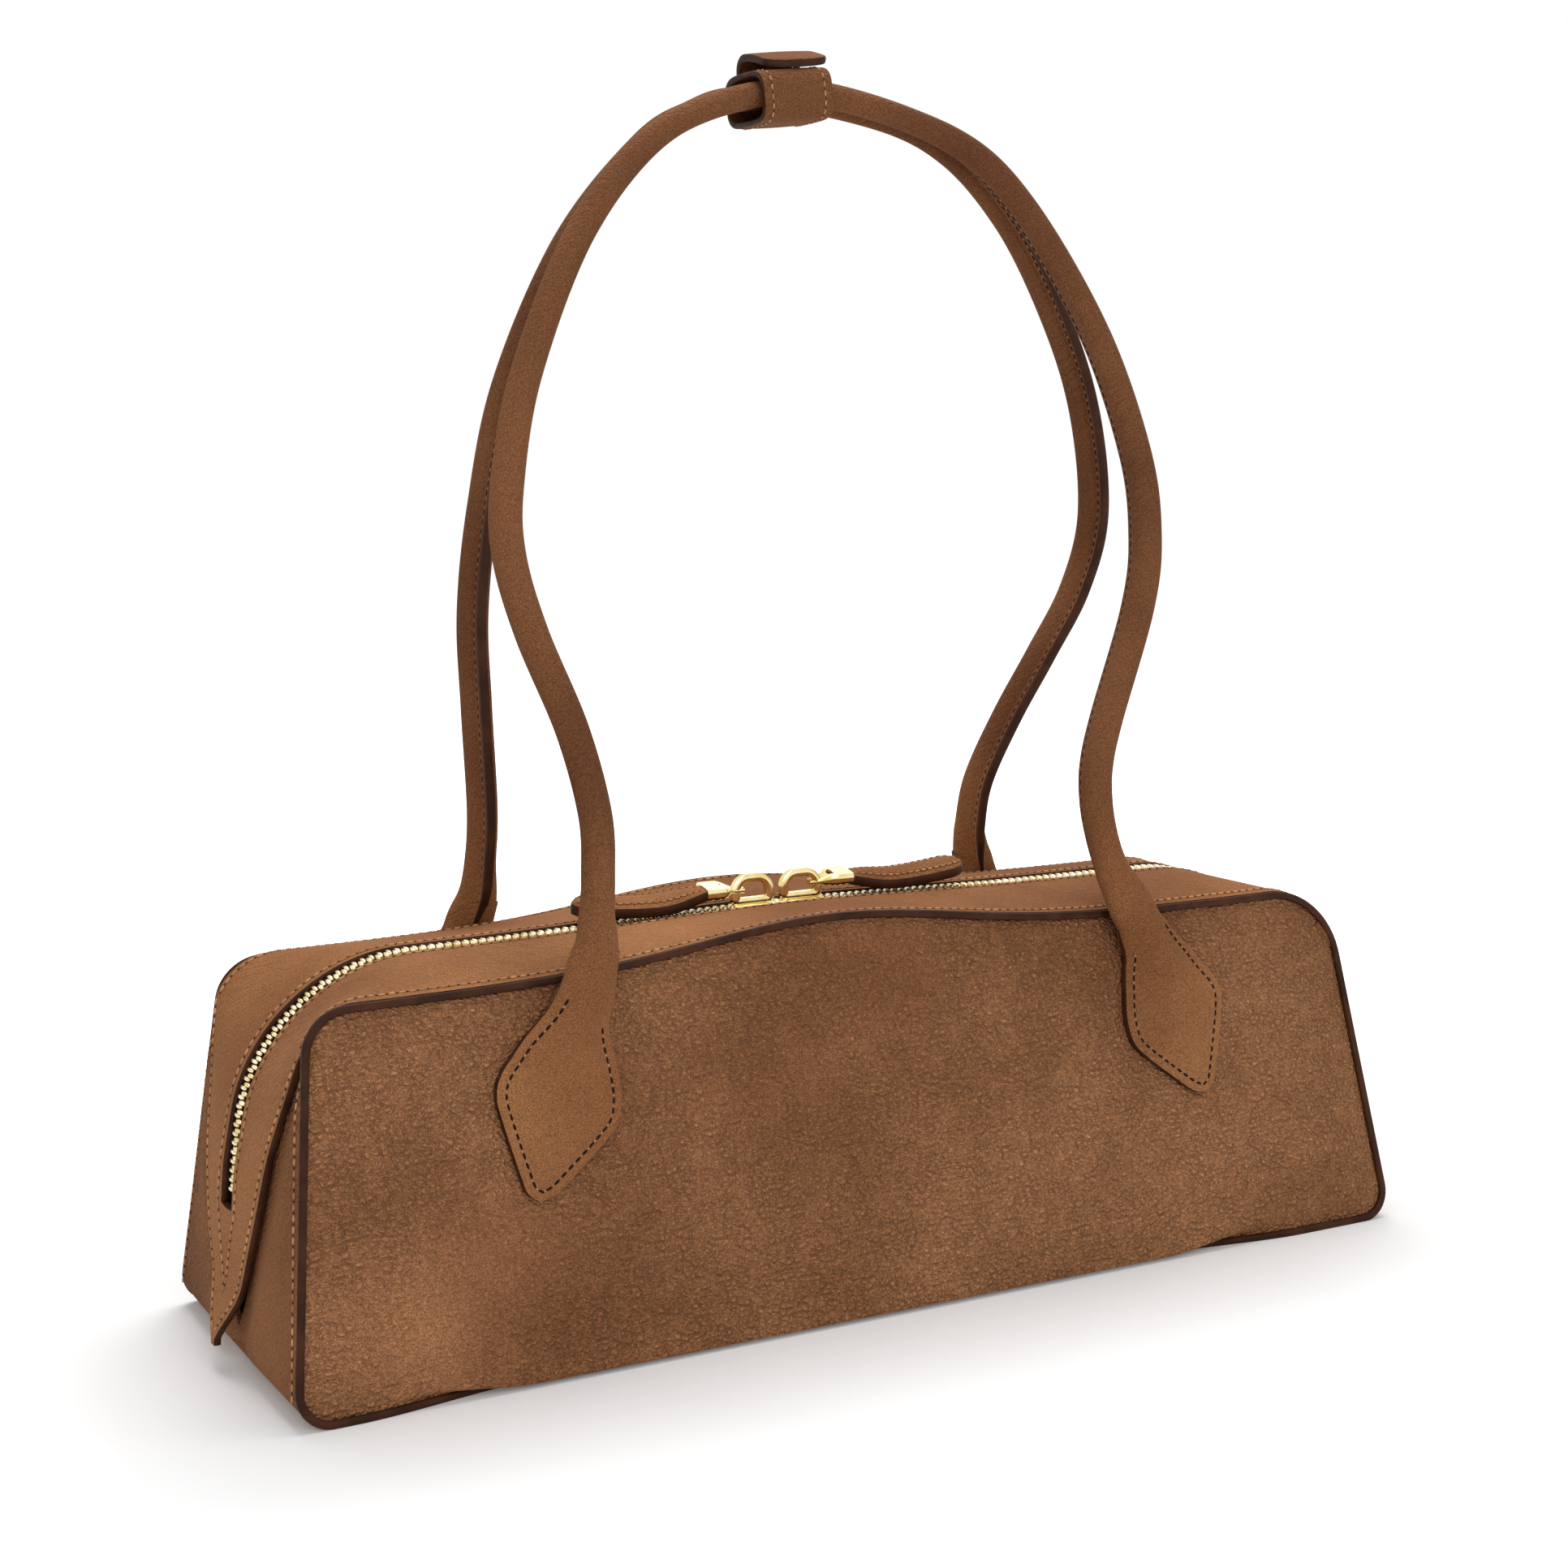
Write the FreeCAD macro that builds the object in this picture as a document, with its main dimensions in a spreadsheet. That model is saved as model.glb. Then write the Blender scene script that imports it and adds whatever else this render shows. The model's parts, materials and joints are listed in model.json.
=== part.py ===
import FreeCAD, Part
import math
import os
import Sketcher
from FreeCAD import Placement, Rotation, Vector

# Baguette shoulder bag in nubuck leather: a long wedge-shaped body with a zip that runs over the
# top and down both ends, two rolled handles on kite-shaped tabs, and a snap keeper on the handles.
# Frame: X along the bag, front towards -Y, Z up, origin on the floor under the middle of the bag.

# Driving dimensions in millimetres, written once here and kept in the sheet.
SIZES = {
    # Body: the seam lips are the outermost edges, so body sizes are lip to lip.
    "base_length": 340.0,
    "base_depth": 112.0,
    "top_length": 317.0,
    "top_depth": 77.0,
    "corner_height": 98.0,
    "arch_rise": 9.0,
    "top_radius": 30.0,
    "bottom_radius": 9.0,
    "leather": 1.6,
    "lip": 3.5,
    "panel_swell": 5.0,
    "swell_run": 34.0,
    "seat_gap": 0.3,
    "lining": 0.8,
    "board": 2.0,
    "base_seam_height": 3.0,
    # Zip: the band's tongue runs down each end to a point.
    "tongue_join_height": 88.0,
    "tongue_tip_height": 6.0,
    "slot_width": 8.0,
    "slot_end_height": 42.0,
    "tape_width": 10.0,
    "tape": 0.8,
    "tooth_width": 2.0,
    "tooth_height": 2.2,
    "chain_gap": 1.8,
    "stop_length": 3.0,
    # Sliders and pulls.
    "slider_meeting": -8.5,
    "slider_length": 15.0,
    "slider_plate": 1.2,
    "slider_post": 1.2,
    "bail_inset": 1.0,
    "bail_play": 1.0,
    "bail_wire": 1.8,
    "bail_width": 2.0,
    "clip_plate_length": 7.0,
    "clip_prong_width": 1.9,
    "clip_sheet": 1.4,
    "pin_diameter": 1.6,
    "pull_clearance": 0.8,
    "pull_tab_length": 42.0,
    "pull_tab_width": 11.0,
    "pull_tab_thickness": 4.4,
    # Handles.
    "handle_diameter": 8.8,
    "core_diameter": 5.4,
    "core_fit": 0.1,
    "neck_span": 161.0,
    "neck_height": 100.0,
    "neck_clearance": 1.2,
    "handle_swing": 105.0,
    "handle_top_height": 327.5,
    "handle_gap": 1.4,
    "waist_inset": 4.5,
    "front_left_bulge": 95.0,
    "front_right_bulge": 101.5,
    "back_left_bulge": 86.0,
    "back_right_bulge": 117.0,
    # Kite-shaped handle tabs.
    "tab_length": 58.0,
    "tab_half_width": 19.5,
    "tab_shoulder": 34.0,
    "tab_neck_width": 10.0,
    "tab_thickness": 4.4,
    "tab_splay": 21.0,
    "tab_corner": 5.0,
    "neck_length": 26.0,
    "neck_tip_diameter": 6.0,
    # Keeper strap with its snap.
    "keeper_width": 20.0,
    "keeper_wall": 1.8,
    "flap_width": 25.0,
    "flap_length": 20.0,
    "snap_diameter": 7.5,
    "stud_height": 1.2,
    "cap_height": 1.0,
}

# Shape of a handle's leg, as shares of its height and of its bulge.
WAIST_SHARE = 0.173
BULGE_SHARE = 0.485
SHOULDER_SHARE = 0.78
SHOULDER_WIDTH_SHARE = 0.83
CROWN_WIDTH_SHARE = 0.38
BULGE_CORNER_SHARE = 0.042
ARC_SHARE = 0.45

# Steps of a panel's swell from its sewn edge inwards: share of the run, share of the swell.
SWELL_STEPS = ((0.0, 0.0), (0.2, 0.5), (0.5, 0.86), (1.0, 1.0))

# Roundings, as shares of the half width that they round.
TAB_TOP_ROUNDING = 0.5
BAIL_ROUNDING = 0.6
PULL_TIP_ROUNDING = 0.9
PULL_ROOT_ROUNDING = 0.3

# How far a form reaches past the bag, as a factor of the bag's own size.
FORM_REACH_SHARE = 1.2

FRONT = -1
BACK = 1
LEFT = -1
RIGHT = 1
SIDE_NAME = {FRONT: "front", BACK: "back"}
HAND_NAME = {LEFT: "left", RIGHT: "right"}

doc = FreeCAD.newDocument("BaguetteBag")
sheet = doc.addObject("Spreadsheet::Sheet", "sizes")
for row, (alias, value) in enumerate(SIZES.items(), start=1):
    sheet.set("A%d" % row, alias)
    sheet.set("B%d" % row, str(value))
    sheet.setAlias("B%d" % row, alias)
doc.recompute()


def size(alias):
    """Read one driving dimension from the sheet."""
    return float(sheet.get(alias))


# Values worked out from the driving dimensions.
leather = size("leather")
gap = size("seat_gap")
half_base = size("base_length") / 2
half_top = size("top_length") / 2
corner_height = size("corner_height")
top_height = corner_height + size("arch_rise")
arch_radius = (half_top ** 2 + size("arch_rise") ** 2) / (2 * size("arch_rise"))
arch_centre_z = top_height - arch_radius
depth_slope = (size("base_depth") - size("top_depth")) / (2 * corner_height)
lean = math.atan(depth_slope)
far_height = top_height * FORM_REACH_SHARE
handle_radius = size("handle_diameter") / 2
tooth_offset = leather + size("tape") / 2
tooth_outer = size("chain_gap") / 2 + size("tooth_width")

parts = []


def keep(item, label):
    """Give a finished sub-part the name of its file and list it for export."""
    item.Label = label
    parts.append(item)
    return item


def origin_plane(body, role):
    """Find one of a body's own origin planes by its role."""
    return [item for item in body.Origin.OriginFeatures if item.Role == role][0]


def new_body(name, placement=None):
    """Start a body, placed in the bag's frame."""
    body = doc.addObject("PartDesign::Body", name)
    if placement is not None:
        body.Placement = placement
    return body


def draw(body, name, role, loops):
    """Draw closed or open loops of lines and arcs on one of the body's origin planes."""
    sketch = body.newObject("Sketcher::SketchObject", name)
    sketch.AttachmentSupport = [(origin_plane(body, role), "")]
    sketch.MapMode = "FlatFace"
    for loop in loops:
        sketch.addGeometry(loop, False)
    return sketch


def bind_radius(sketch, geometry_index, expression):
    """Tie the radius of one arc or circle of a sketch to the sheet."""
    radius = sketch.Geometry[geometry_index].Radius
    constraint = sketch.addConstraint(Sketcher.Constraint("Radius", geometry_index, radius))
    sketch.setExpression("Constraints[%d]" % constraint, expression)


def pad(body, sketch, length, symmetric=False, flip=False):
    """Pad a sketch by a length given as an expression of the sheet."""
    feature = body.newObject("PartDesign::Pad", sketch.Name + "Pad")
    feature.Profile = sketch
    feature.SideType = "Symmetric" if symmetric else "One side"
    feature.Reversed = flip
    feature.setExpression("Length", length)
    return feature


def polygon(points):
    """Close a loop of straight lines through points."""
    corners = [Vector(x, y, 0) for x, y in points]
    return [Part.LineSegment(a, b) for a, b in zip(corners, corners[1:] + corners[:1])]


def fillet_path(points, radii):
    """Lines through points with tangent arcs at the inner points, as sketch geometry."""
    corners = [Vector(x, y, 0) for x, y in points]
    pieces = []
    start = corners[0]
    for before, corner, after, radius in zip(corners, corners[1:], corners[2:], radii):
        way_in = (corner - before).normalize()
        way_out = (after - corner).normalize()
        half_turn = way_in.getAngle(way_out) / 2
        reach = radius * math.tan(half_turn)
        entry = corner - way_in * reach
        leave = corner + way_out * reach
        to_centre = (way_out - way_in).normalize()
        middle = corner + to_centre * (radius / math.cos(half_turn) - radius)
        pieces.append(Part.LineSegment(start, entry))
        pieces.append(Part.Arc(entry, middle, leave))
        start = leave
    pieces.append(Part.LineSegment(start, corners[-1]))
    return pieces


def rounded_polygon(points, radii):
    """Close a loop through points with each corner rounded by its own radius."""
    first = points[0]
    last = points[-1]
    opening = ((first[0] + last[0]) / 2, (first[1] + last[1]) / 2)
    loop = [opening] + list(points) + [opening]
    return fillet_path(loop, radii)


def largest_radii(points):
    """Largest arcs that the runs of a path leave room for."""
    corners = [Vector(x, y, 0) for x, y in points]
    radii = []
    for before, corner, after in zip(corners, corners[1:], corners[2:]):
        run_in = corner - before
        run_out = after - corner
        shorter = min(run_in.Length, run_out.Length)
        radii.append(ARC_SHARE * shorter / math.tan(run_in.getAngle(run_out) / 2))
    return radii


def seam_outline(offset):
    """Outline of the bag in XZ, moved inwards by an offset: floor, ends, corners and arch."""
    end_run = Vector(half_top - half_base, corner_height, 0)
    end_out = Vector(end_run.y, -end_run.x, 0).normalize()
    low = size("bottom_radius")
    high = size("top_radius")
    end_foot = Vector(half_base, 0, 0)
    low_x = half_base - low * (1 + end_out.y) / end_out.x
    low_centre = Vector(low_x, low, 0)
    # The upper corner's centre lies on a line inside the end and on a circle inside the arch.
    start = end_foot - end_out * high
    along = Vector(end_run).normalize()
    arch_centre = Vector(0, arch_centre_z, 0)
    offset_start = start - arch_centre
    reach = arch_radius - high
    dot = offset_start.dot(along)
    travel = -dot + math.sqrt(dot ** 2 - offset_start.dot(offset_start) + reach ** 2)
    high_centre = start + along * travel
    arch_out = (high_centre - arch_centre).normalize()
    low_mid = (end_out + Vector(0, -1, 0)).normalize()
    high_mid = (end_out + arch_out).normalize()
    floor_end = Vector(low_x, offset, 0)
    rise_start = low_centre + end_out * (low - offset)
    rise_end = high_centre + end_out * (high - offset)
    arch_end = high_centre + arch_out * (high - offset)

    def mirrored(point):
        return Vector(-point.x, point.y, 0)

    low_middle = low_centre + low_mid * (low - offset)
    high_middle = high_centre + high_mid * (high - offset)
    return [
        Part.LineSegment(mirrored(floor_end), floor_end),
        Part.Arc(floor_end, low_middle, rise_start),
        Part.LineSegment(rise_start, rise_end),
        Part.Arc(rise_end, high_middle, arch_end),
        Part.Arc(arch_end, Vector(0, top_height - offset, 0), mirrored(arch_end)),
        Part.Arc(mirrored(arch_end), mirrored(high_middle), mirrored(rise_end)),
        Part.LineSegment(mirrored(rise_end), mirrored(rise_start)),
        Part.Arc(mirrored(rise_start), mirrored(low_middle), mirrored(floor_end)),
    ]


def lip_y(side, height, inset=0.0):
    """Y of a side's lip plane at a height, moved inwards square to the plane by an inset."""
    return side * (size("base_depth") / 2 - depth_slope * height - inset / math.cos(lean))


def around_form(name, outer_offset, inner_offset=None):
    """Form that follows the seam outline through the whole depth: a ring, or a full prism."""
    body = new_body(name)
    loops = [seam_outline(outer_offset)]
    if inner_offset is not None:
        loops.append(seam_outline(inner_offset))
    reach = "sizes.base_depth * %s" % FORM_REACH_SHARE
    pad(body, draw(body, name + "Outline", "XZ_Plane", loops), reach, True)
    return body


def across_form(name, points, hand=None):
    """Form with a YZ outline that runs the whole length, or from the middle to one end."""
    body = new_body(name)
    sketch = draw(body, name + "Outline", "YZ_Plane", [polygon(points)])
    if hand is None:
        pad(body, sketch, "sizes.base_length * %s" % FORM_REACH_SHARE, True)
    else:
        pad(body, sketch, "sizes.base_length / 2 * %s" % FORM_REACH_SHARE, False, hand == LEFT)
    return body


def crossed(label, around, across):
    """Sub-part where a form around the bag meets a form along it."""
    common = doc.addObject("Part::Common", "Cut_" + label)
    common.Base = around
    common.Tool = across
    return keep(common, label)


# Forms that follow the seam outline.
band_ring = around_form("BandRing", 0.0, leather)
tape_ring = around_form("TapeRing", leather, leather + size("tape"))
tooth_half = size("tooth_height") / 2
teeth_ring = around_form("TeethRing", tooth_offset - tooth_half, tooth_offset + tooth_half)
panel_prism = around_form("PanelPrism", leather + gap)


def swell_profile(first, last, depth):
    """Steps (place, inset) of the swell between two sewn edges, for an edge that lies at a depth."""
    run = size("swell_run")
    swell = size("panel_swell")
    rise = [(first + run * along, depth - swell * out) for along, out in SWELL_STEPS]
    fall = [(last - run * along, depth - swell * out) for along, out in SWELL_STEPS]
    return rise + fall[::-1]


def end_form(name, side, hand, depth):
    """Form that lets the swell fall off towards one end of the bag, along the end's slope."""
    outward = Vector(0, side * math.cos(lean), math.sin(lean))
    edge_run = Vector(hand * (half_top - half_base), lip_y(side, corner_height) - lip_y(side, 0), corner_height)
    inward = edge_run.cross(outward).normalize()
    if inward.x * hand > 0:
        inward = inward * -1
    turn = Rotation(inward, outward, inward.cross(outward), "XYZ")
    body = new_body(name, Placement(Vector(hand * half_base, lip_y(side, 0), 0), turn))
    far_end = size("base_length") * FORM_REACH_SHARE
    deep = -size("base_depth") - depth
    rise = swell_profile(leather + gap, far_end, depth)[:len(SWELL_STEPS)]
    points = [(-far_end, -depth)] + [(place, -inset) for place, inset in rise]
    points += [(far_end, -rise[-1][1]), (far_end, deep), (-far_end, deep)]
    sketch = draw(body, name + "Outline", "XY_Plane", [polygon(points)])
    pad(body, sketch, "sizes.base_length * 2 * %s" % FORM_REACH_SHARE, True)
    return body


def swelled_form(name, side, depth):
    """Everything inside a side's swelled face, with the face's sewn edge at a depth under the lip."""
    profile = swell_profile(leather + gap, corner_height, depth)
    steps = [(-far_height, depth)] + profile + [(far_height, depth)]
    past_middle = -side * (depth - size("lip") + leather)
    outline = [(lip_y(side, height, inset), height) for height, inset in steps]
    across = across_form(name + "Across", outline + [(past_middle, far_height), (past_middle, -far_height)])
    ends = [end_form(name + HAND_NAME[hand].title() + "End", side, hand, depth) for hand in (LEFT, RIGHT)]
    form = doc.addObject("Part::MultiCommon", name)
    form.Shapes = [across] + ends
    return form


def swelled_sheet(label, around, outer, inner):
    """Sub-part between two swelled faces, inside a form that follows the seam outline."""
    filled = doc.addObject("Part::Common", "Filled_" + label)
    filled.Base = around
    filled.Tool = outer
    hollow = doc.addObject("Part::Cut", "Cut_" + label)
    hollow.Base = filled
    hollow.Tool = inner
    return keep(hollow, label)


def build_base():
    """Base strip, its stiffening board and the lining over the board."""
    seam = size("base_seam_height")
    crossed("base_panel", band_ring, across_form("BaseForm", [
        (lip_y(FRONT, 0), 0),
        (lip_y(BACK, 0), 0),
        (lip_y(BACK, seam), seam),
        (lip_y(FRONT, seam), seam),
    ]))
    stack = "(sizes.lip + sizes.leather + sizes.lining + 2 * sizes.seat_gap)"
    board_top = "(sizes.leather + sizes.board + sizes.lining)"
    slope = "((sizes.base_depth - sizes.top_depth) / (2 * sizes.corner_height))"
    length = "(sizes.base_length - 2 * sizes.bottom_radius - 2 * sizes.leather)"
    width = "(sizes.base_depth - 2 * (%s + %s) / cos(atan(%s)))" % (stack, board_top, slope)
    bottoms = {"base_board": "sizes.leather", "base_lining": "sizes.leather + sizes.board"}
    heights = {"base_board": "sizes.board", "base_lining": "sizes.lining"}
    for label in bottoms:
        box = doc.addObject("Part::Box", "Box_" + label)
        box.setExpression("Length", length)
        box.setExpression("Width", width)
        box.setExpression("Height", heights[label])
        box.setExpression("Placement.Base.x", "-%s / 2" % length)
        box.setExpression("Placement.Base.y", "-%s / 2" % width)
        box.setExpression("Placement.Base.z", bottoms[label])
        keep(box, label)


def build_side(side):
    """Panel, lining, gussets and half of the zip on the front or the back."""
    name = SIDE_NAME[side]
    lip = size("lip")
    face = swelled_form(name + "PanelFace", side, lip)
    back = swelled_form(name + "PanelBack", side, lip + leather)
    inside = swelled_form(name + "LiningBack", side, lip + leather + size("lining"))
    swelled_sheet(name + "_panel", panel_prism, face, back)
    swelled_sheet(name + "_lining", panel_prism, back, inside)

    middle = side * gap / 2
    join = size("tongue_join_height")
    tip = size("tongue_tip_height")
    foot = size("base_seam_height") + gap
    slot_edge = side * size("slot_width") / 2
    slot_end = size("slot_end_height")
    for hand in (LEFT, RIGHT):
        form = across_form(name + HAND_NAME[hand].title() + "GussetForm", [
            (middle, foot),
            (middle, tip),
            (lip_y(side, join), join),
            (lip_y(side, foot), foot),
        ], hand)
        crossed("%s_%s_gusset" % (name, HAND_NAME[hand]), band_ring, form)
    crossed(name + "_zip_band", band_ring, across_form(name + "BandForm", [
        (middle, tip),
        (lip_y(side, join), join),
        (lip_y(side, far_height), far_height),
        (slot_edge, far_height),
        (slot_edge, slot_end),
        (middle, slot_end),
    ]))
    tape_inner = side * tooth_outer
    tape_outer = side * (tooth_outer + size("tape_width"))
    tape_end = slot_end - size("stop_length")
    crossed(name + "_zip_tape", tape_ring, across_form(name + "TapeForm", [
        (tape_inner, tape_end),
        (tape_outer, tape_end),
        (tape_outer, far_height),
        (tape_inner, far_height),
    ]))
    teeth_end = slot_end + size("stop_length") + gap
    teeth_inner = side * size("chain_gap") / 2
    crossed(name + "_zip_teeth", teeth_ring, across_form(name + "TeethForm", [
        (teeth_inner, teeth_end),
        (tape_inner, teeth_end),
        (tape_inner, far_height),
        (teeth_inner, far_height),
    ]))
    # One stop is crimped on the tape at each end of the row of teeth.
    stop_top = slot_end + size("stop_length")
    crossed(name + "_zip_stops", teeth_ring, across_form(name + "StopForm", [
        (middle, slot_end),
        (tape_inner, slot_end),
        (tape_inner, stop_top),
        (middle, stop_top),
    ]))


# The tabs lie on the panel's swell, and the handle's hinge stands far enough out to pass over the lip.
tab_inset = size("lip") - size("panel_swell")
neck_out = tab_inset + size("neck_clearance") + handle_radius
tab_foot_height = size("neck_height") - neck_out * math.sin(lean)
neck_y = -lip_y(FRONT, tab_foot_height, tab_inset) + neck_out * math.cos(lean)
handle_top_y = handle_radius + size("handle_gap") / 2
handle_rise = size("handle_top_height") - size("neck_height")
handle_tilt = math.degrees(math.atan((neck_y - handle_top_y) / handle_rise))
handle_height = math.hypot(neck_y - handle_top_y, handle_rise)


def facing(side):
    """Turn that brings a piece made for the front to the given side."""
    return Rotation(Vector(0, 0, 1), 0 if side == FRONT else 180)


def build_tab(side, hand):
    """Kite-shaped tab sewn to a panel, with the tapered neck that carries the handle."""
    label = "%s_%s_handle_tab" % (SIDE_NAME[side], HAND_NAME[hand])
    foot = Vector(hand * size("neck_span") / 2, lip_y(side, tab_foot_height, tab_inset), tab_foot_height)
    turn = facing(side).multiply(Rotation(Vector(1, 0, 0), -math.degrees(lean)))
    body = new_body("Body_" + label, Placement(foot, turn))
    # Seen from its own side, a back tab splays the other way.
    splay = math.radians(size("tab_splay")) * hand * (1 if side == FRONT else -1)
    down = Vector(math.sin(splay), -math.cos(splay), 0)
    across = Vector(-down.y, down.x, 0)
    half_neck = size("tab_neck_width") / 2
    corner = size("tab_corner")
    top_corner = half_neck * TAB_TOP_ROUNDING
    start = handle_radius + gap

    def at(along, sideways):
        point = down * along + across * sideways
        return (point.x, point.y)

    outline = rounded_polygon([
        at(start, half_neck),
        at(size("tab_shoulder"), size("tab_half_width")),
        at(size("tab_length"), 0.0),
        at(size("tab_shoulder"), -size("tab_half_width")),
        at(start, -half_neck),
    ], [top_corner, corner, corner, corner, top_corner])
    sketch = draw(body, label + "Outline", "XZ_Plane", [outline])
    pad(body, sketch, "sizes.tab_thickness")
    # The neck is a cone from inside the tab up to just under the handle's rounded end.
    hinge = Vector(0, -neck_out, 0)
    tip_out = size("neck_tip_diameter") / 2 + gap
    tip = Vector(down.x, 0, down.y) * size("neck_length") - Vector(0, tip_out, 0)
    axis = (hinge - tip).normalize()
    neck = body.newObject("PartDesign::AdditiveCone", label + "Neck")
    neck.setExpression("Radius1", "sizes.neck_tip_diameter / 2")
    neck.setExpression("Radius2", "sizes.handle_diameter / 2")
    neck.Height = (hinge - tip).Length - handle_radius - gap
    neck.Placement = Placement(tip, Rotation(Vector(0, 0, 1), axis))
    # A notch leaves room for the roll when the handle is swung right out.
    notch = body.newObject("PartDesign::SubtractiveCylinder", label + "Notch")
    notch.setExpression("Radius", "sizes.handle_diameter / 2 + sizes.seat_gap")
    notch.setExpression("Height", "sizes.handle_diameter * 2")
    full_swing = size("handle_swing") - handle_tilt + math.degrees(lean)
    notch.Placement = Placement(hinge, Rotation(Vector(1, 0, 0), full_swing))
    keep(body, label)


def handle_route(left_bulge, right_bulge):
    """Route of a handle in its own plane: up one leg, over the crown and down the other."""
    neck = size("neck_span") / 2
    waist = neck - size("waist_inset")

    def leg(hand, bulge):
        return [
            (hand * neck, 0.0),
            (hand * waist, WAIST_SHARE * handle_height),
            (hand * bulge * (1 + BULGE_CORNER_SHARE), BULGE_SHARE * handle_height),
            (hand * bulge * SHOULDER_WIDTH_SHARE, SHOULDER_SHARE * handle_height),
            (hand * bulge * CROWN_WIDTH_SHARE, handle_height),
        ]

    return leg(LEFT, left_bulge) + leg(RIGHT, right_bulge)[::-1]


def moved_along(start, towards, distance):
    """Point on a run at a distance from its start."""
    run = Vector(towards[0] - start[0], towards[1] - start[1], 0).normalize()
    return (start[0] + run.x * distance, start[1] + run.y * distance)


def swept_tube(body, label, route, set_back, outer, inner=None):
    """Sweep a round or hollow section along a route, starting and ending a set-back inside it."""
    radii = largest_radii(route)
    first = moved_along(route[0], route[1], set_back)
    last = moved_along(route[-1], route[-2], set_back)
    path = draw(body, label + "Path", "XZ_Plane", [fillet_path([first] + route[1:-1] + [last], radii)])
    section = draw(body, label + "Section", "XY_Plane", [])
    start_run = Vector(route[1][0] - first[0], 0, route[1][1] - first[1])
    section.AttachmentOffset = Placement(
        Vector(first[0], 0, first[1]),
        Rotation(Vector(0, 0, 1), start_run),
    )
    circles = [outer] if inner is None else [outer, inner]
    for index, expression in enumerate(circles):
        section.addGeometry(Part.Circle(Vector(0, 0, 0), Vector(0, 0, 1), 1.0 + index), False)
        bind_radius(section, index, expression)
    pipe = body.newObject("PartDesign::AdditivePipe", label + "Sweep")
    pipe.Profile = section
    pipe.Spine = (path, ["Edge%d" % (index + 1) for index in range(len(path.Geometry))])
    return pipe


def build_handle(side):
    """Rolled handle with round ends on its hinge, and the filler cord inside the roll."""
    name = SIDE_NAME[side]
    tilt = Rotation(Vector(1, 0, 0), side * handle_tilt)
    place = Placement(Vector(0, side * neck_y, size("neck_height")), tilt)
    bulges = (size(name + "_left_bulge"), size(name + "_right_bulge"))
    label = name + "_handle_roll"
    body = new_body("Body_" + label, place)
    bore = "sizes.core_diameter / 2 + sizes.core_fit"
    swept_tube(body, label, handle_route(*bulges), 0.0, "sizes.handle_diameter / 2", bore)
    for hand in (LEFT, RIGHT):
        ball = body.newObject("PartDesign::AdditiveSphere", label + HAND_NAME[hand].title() + "End")
        ball.setExpression("Radius", "sizes.handle_diameter / 2")
        ball.Placement = Placement(Vector(hand * size("neck_span") / 2, 0, 0), Rotation())
    keep(body, label)
    label = name + "_handle_core"
    body = new_body("Body_" + label, place)
    swept_tube(body, label, handle_route(*bulges), handle_radius + gap, "sizes.core_diameter / 2")
    keep(body, label)


def build_keeper():
    """Strap round both handles at the crown, its flap on top and the snap between them."""
    wall = size("keeper_wall")
    centre_z = size("handle_top_height")
    inner_y = handle_top_y + handle_radius + gap
    inner_z = handle_radius + gap
    ring_top = inner_z + wall

    def ring(half_y, half_z, radius):
        corners = [(-half_y, -half_z), (half_y, -half_z), (half_y, half_z), (-half_y, half_z)]
        return rounded_polygon(corners, [radius] * len(corners))

    place = Placement(Vector(0, 0, centre_z), Rotation())
    loop = new_body("Body_keeper_loop", place)
    outlines = [ring(inner_y + wall, ring_top, inner_z), ring(inner_y, inner_z, inner_z - wall)]
    sketch = draw(loop, "KeeperLoopOutline", "YZ_Plane", outlines)
    pad(loop, sketch, "sizes.keeper_width", True)
    keep(loop, "keeper_loop")

    under_flap = centre_z + ring_top + size("stud_height") + gap + size("cap_height")
    flap = doc.addObject("Part::Box", "Box_keeper_flap")
    flap.setExpression("Length", "sizes.flap_width")
    flap.setExpression("Width", "sizes.flap_length")
    flap.setExpression("Height", "sizes.keeper_wall")
    flap.Placement.Base = Vector(-size("flap_width") / 2, inner_y + wall - size("flap_length"), under_flap)
    keep(flap, "keeper_flap")

    snap_bottoms = {
        "snap_stud": centre_z + ring_top,
        "snap_cap": under_flap - size("cap_height"),
    }
    for label, bottom in snap_bottoms.items():
        disc = doc.addObject("Part::Cylinder", "Disc_" + label)
        disc.setExpression("Radius", "sizes.snap_diameter / 2")
        disc.setExpression("Height", "sizes.stud_height" if label == "snap_stud" else "sizes.cap_height")
        disc.Placement.Base = Vector(0, 0, bottom)
        keep(disc, label)


# The bail stands on the slider's top plate and leaves room for the pull's pin.
half_bail = size("slider_length") / 2 - size("bail_inset")
pin_radius = size("pin_diameter") / 2
pin_height = size("pull_clearance") + size("pull_tab_thickness") / 2
bail_height = pin_height + pin_radius + size("bail_play") + size("bail_wire")


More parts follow.
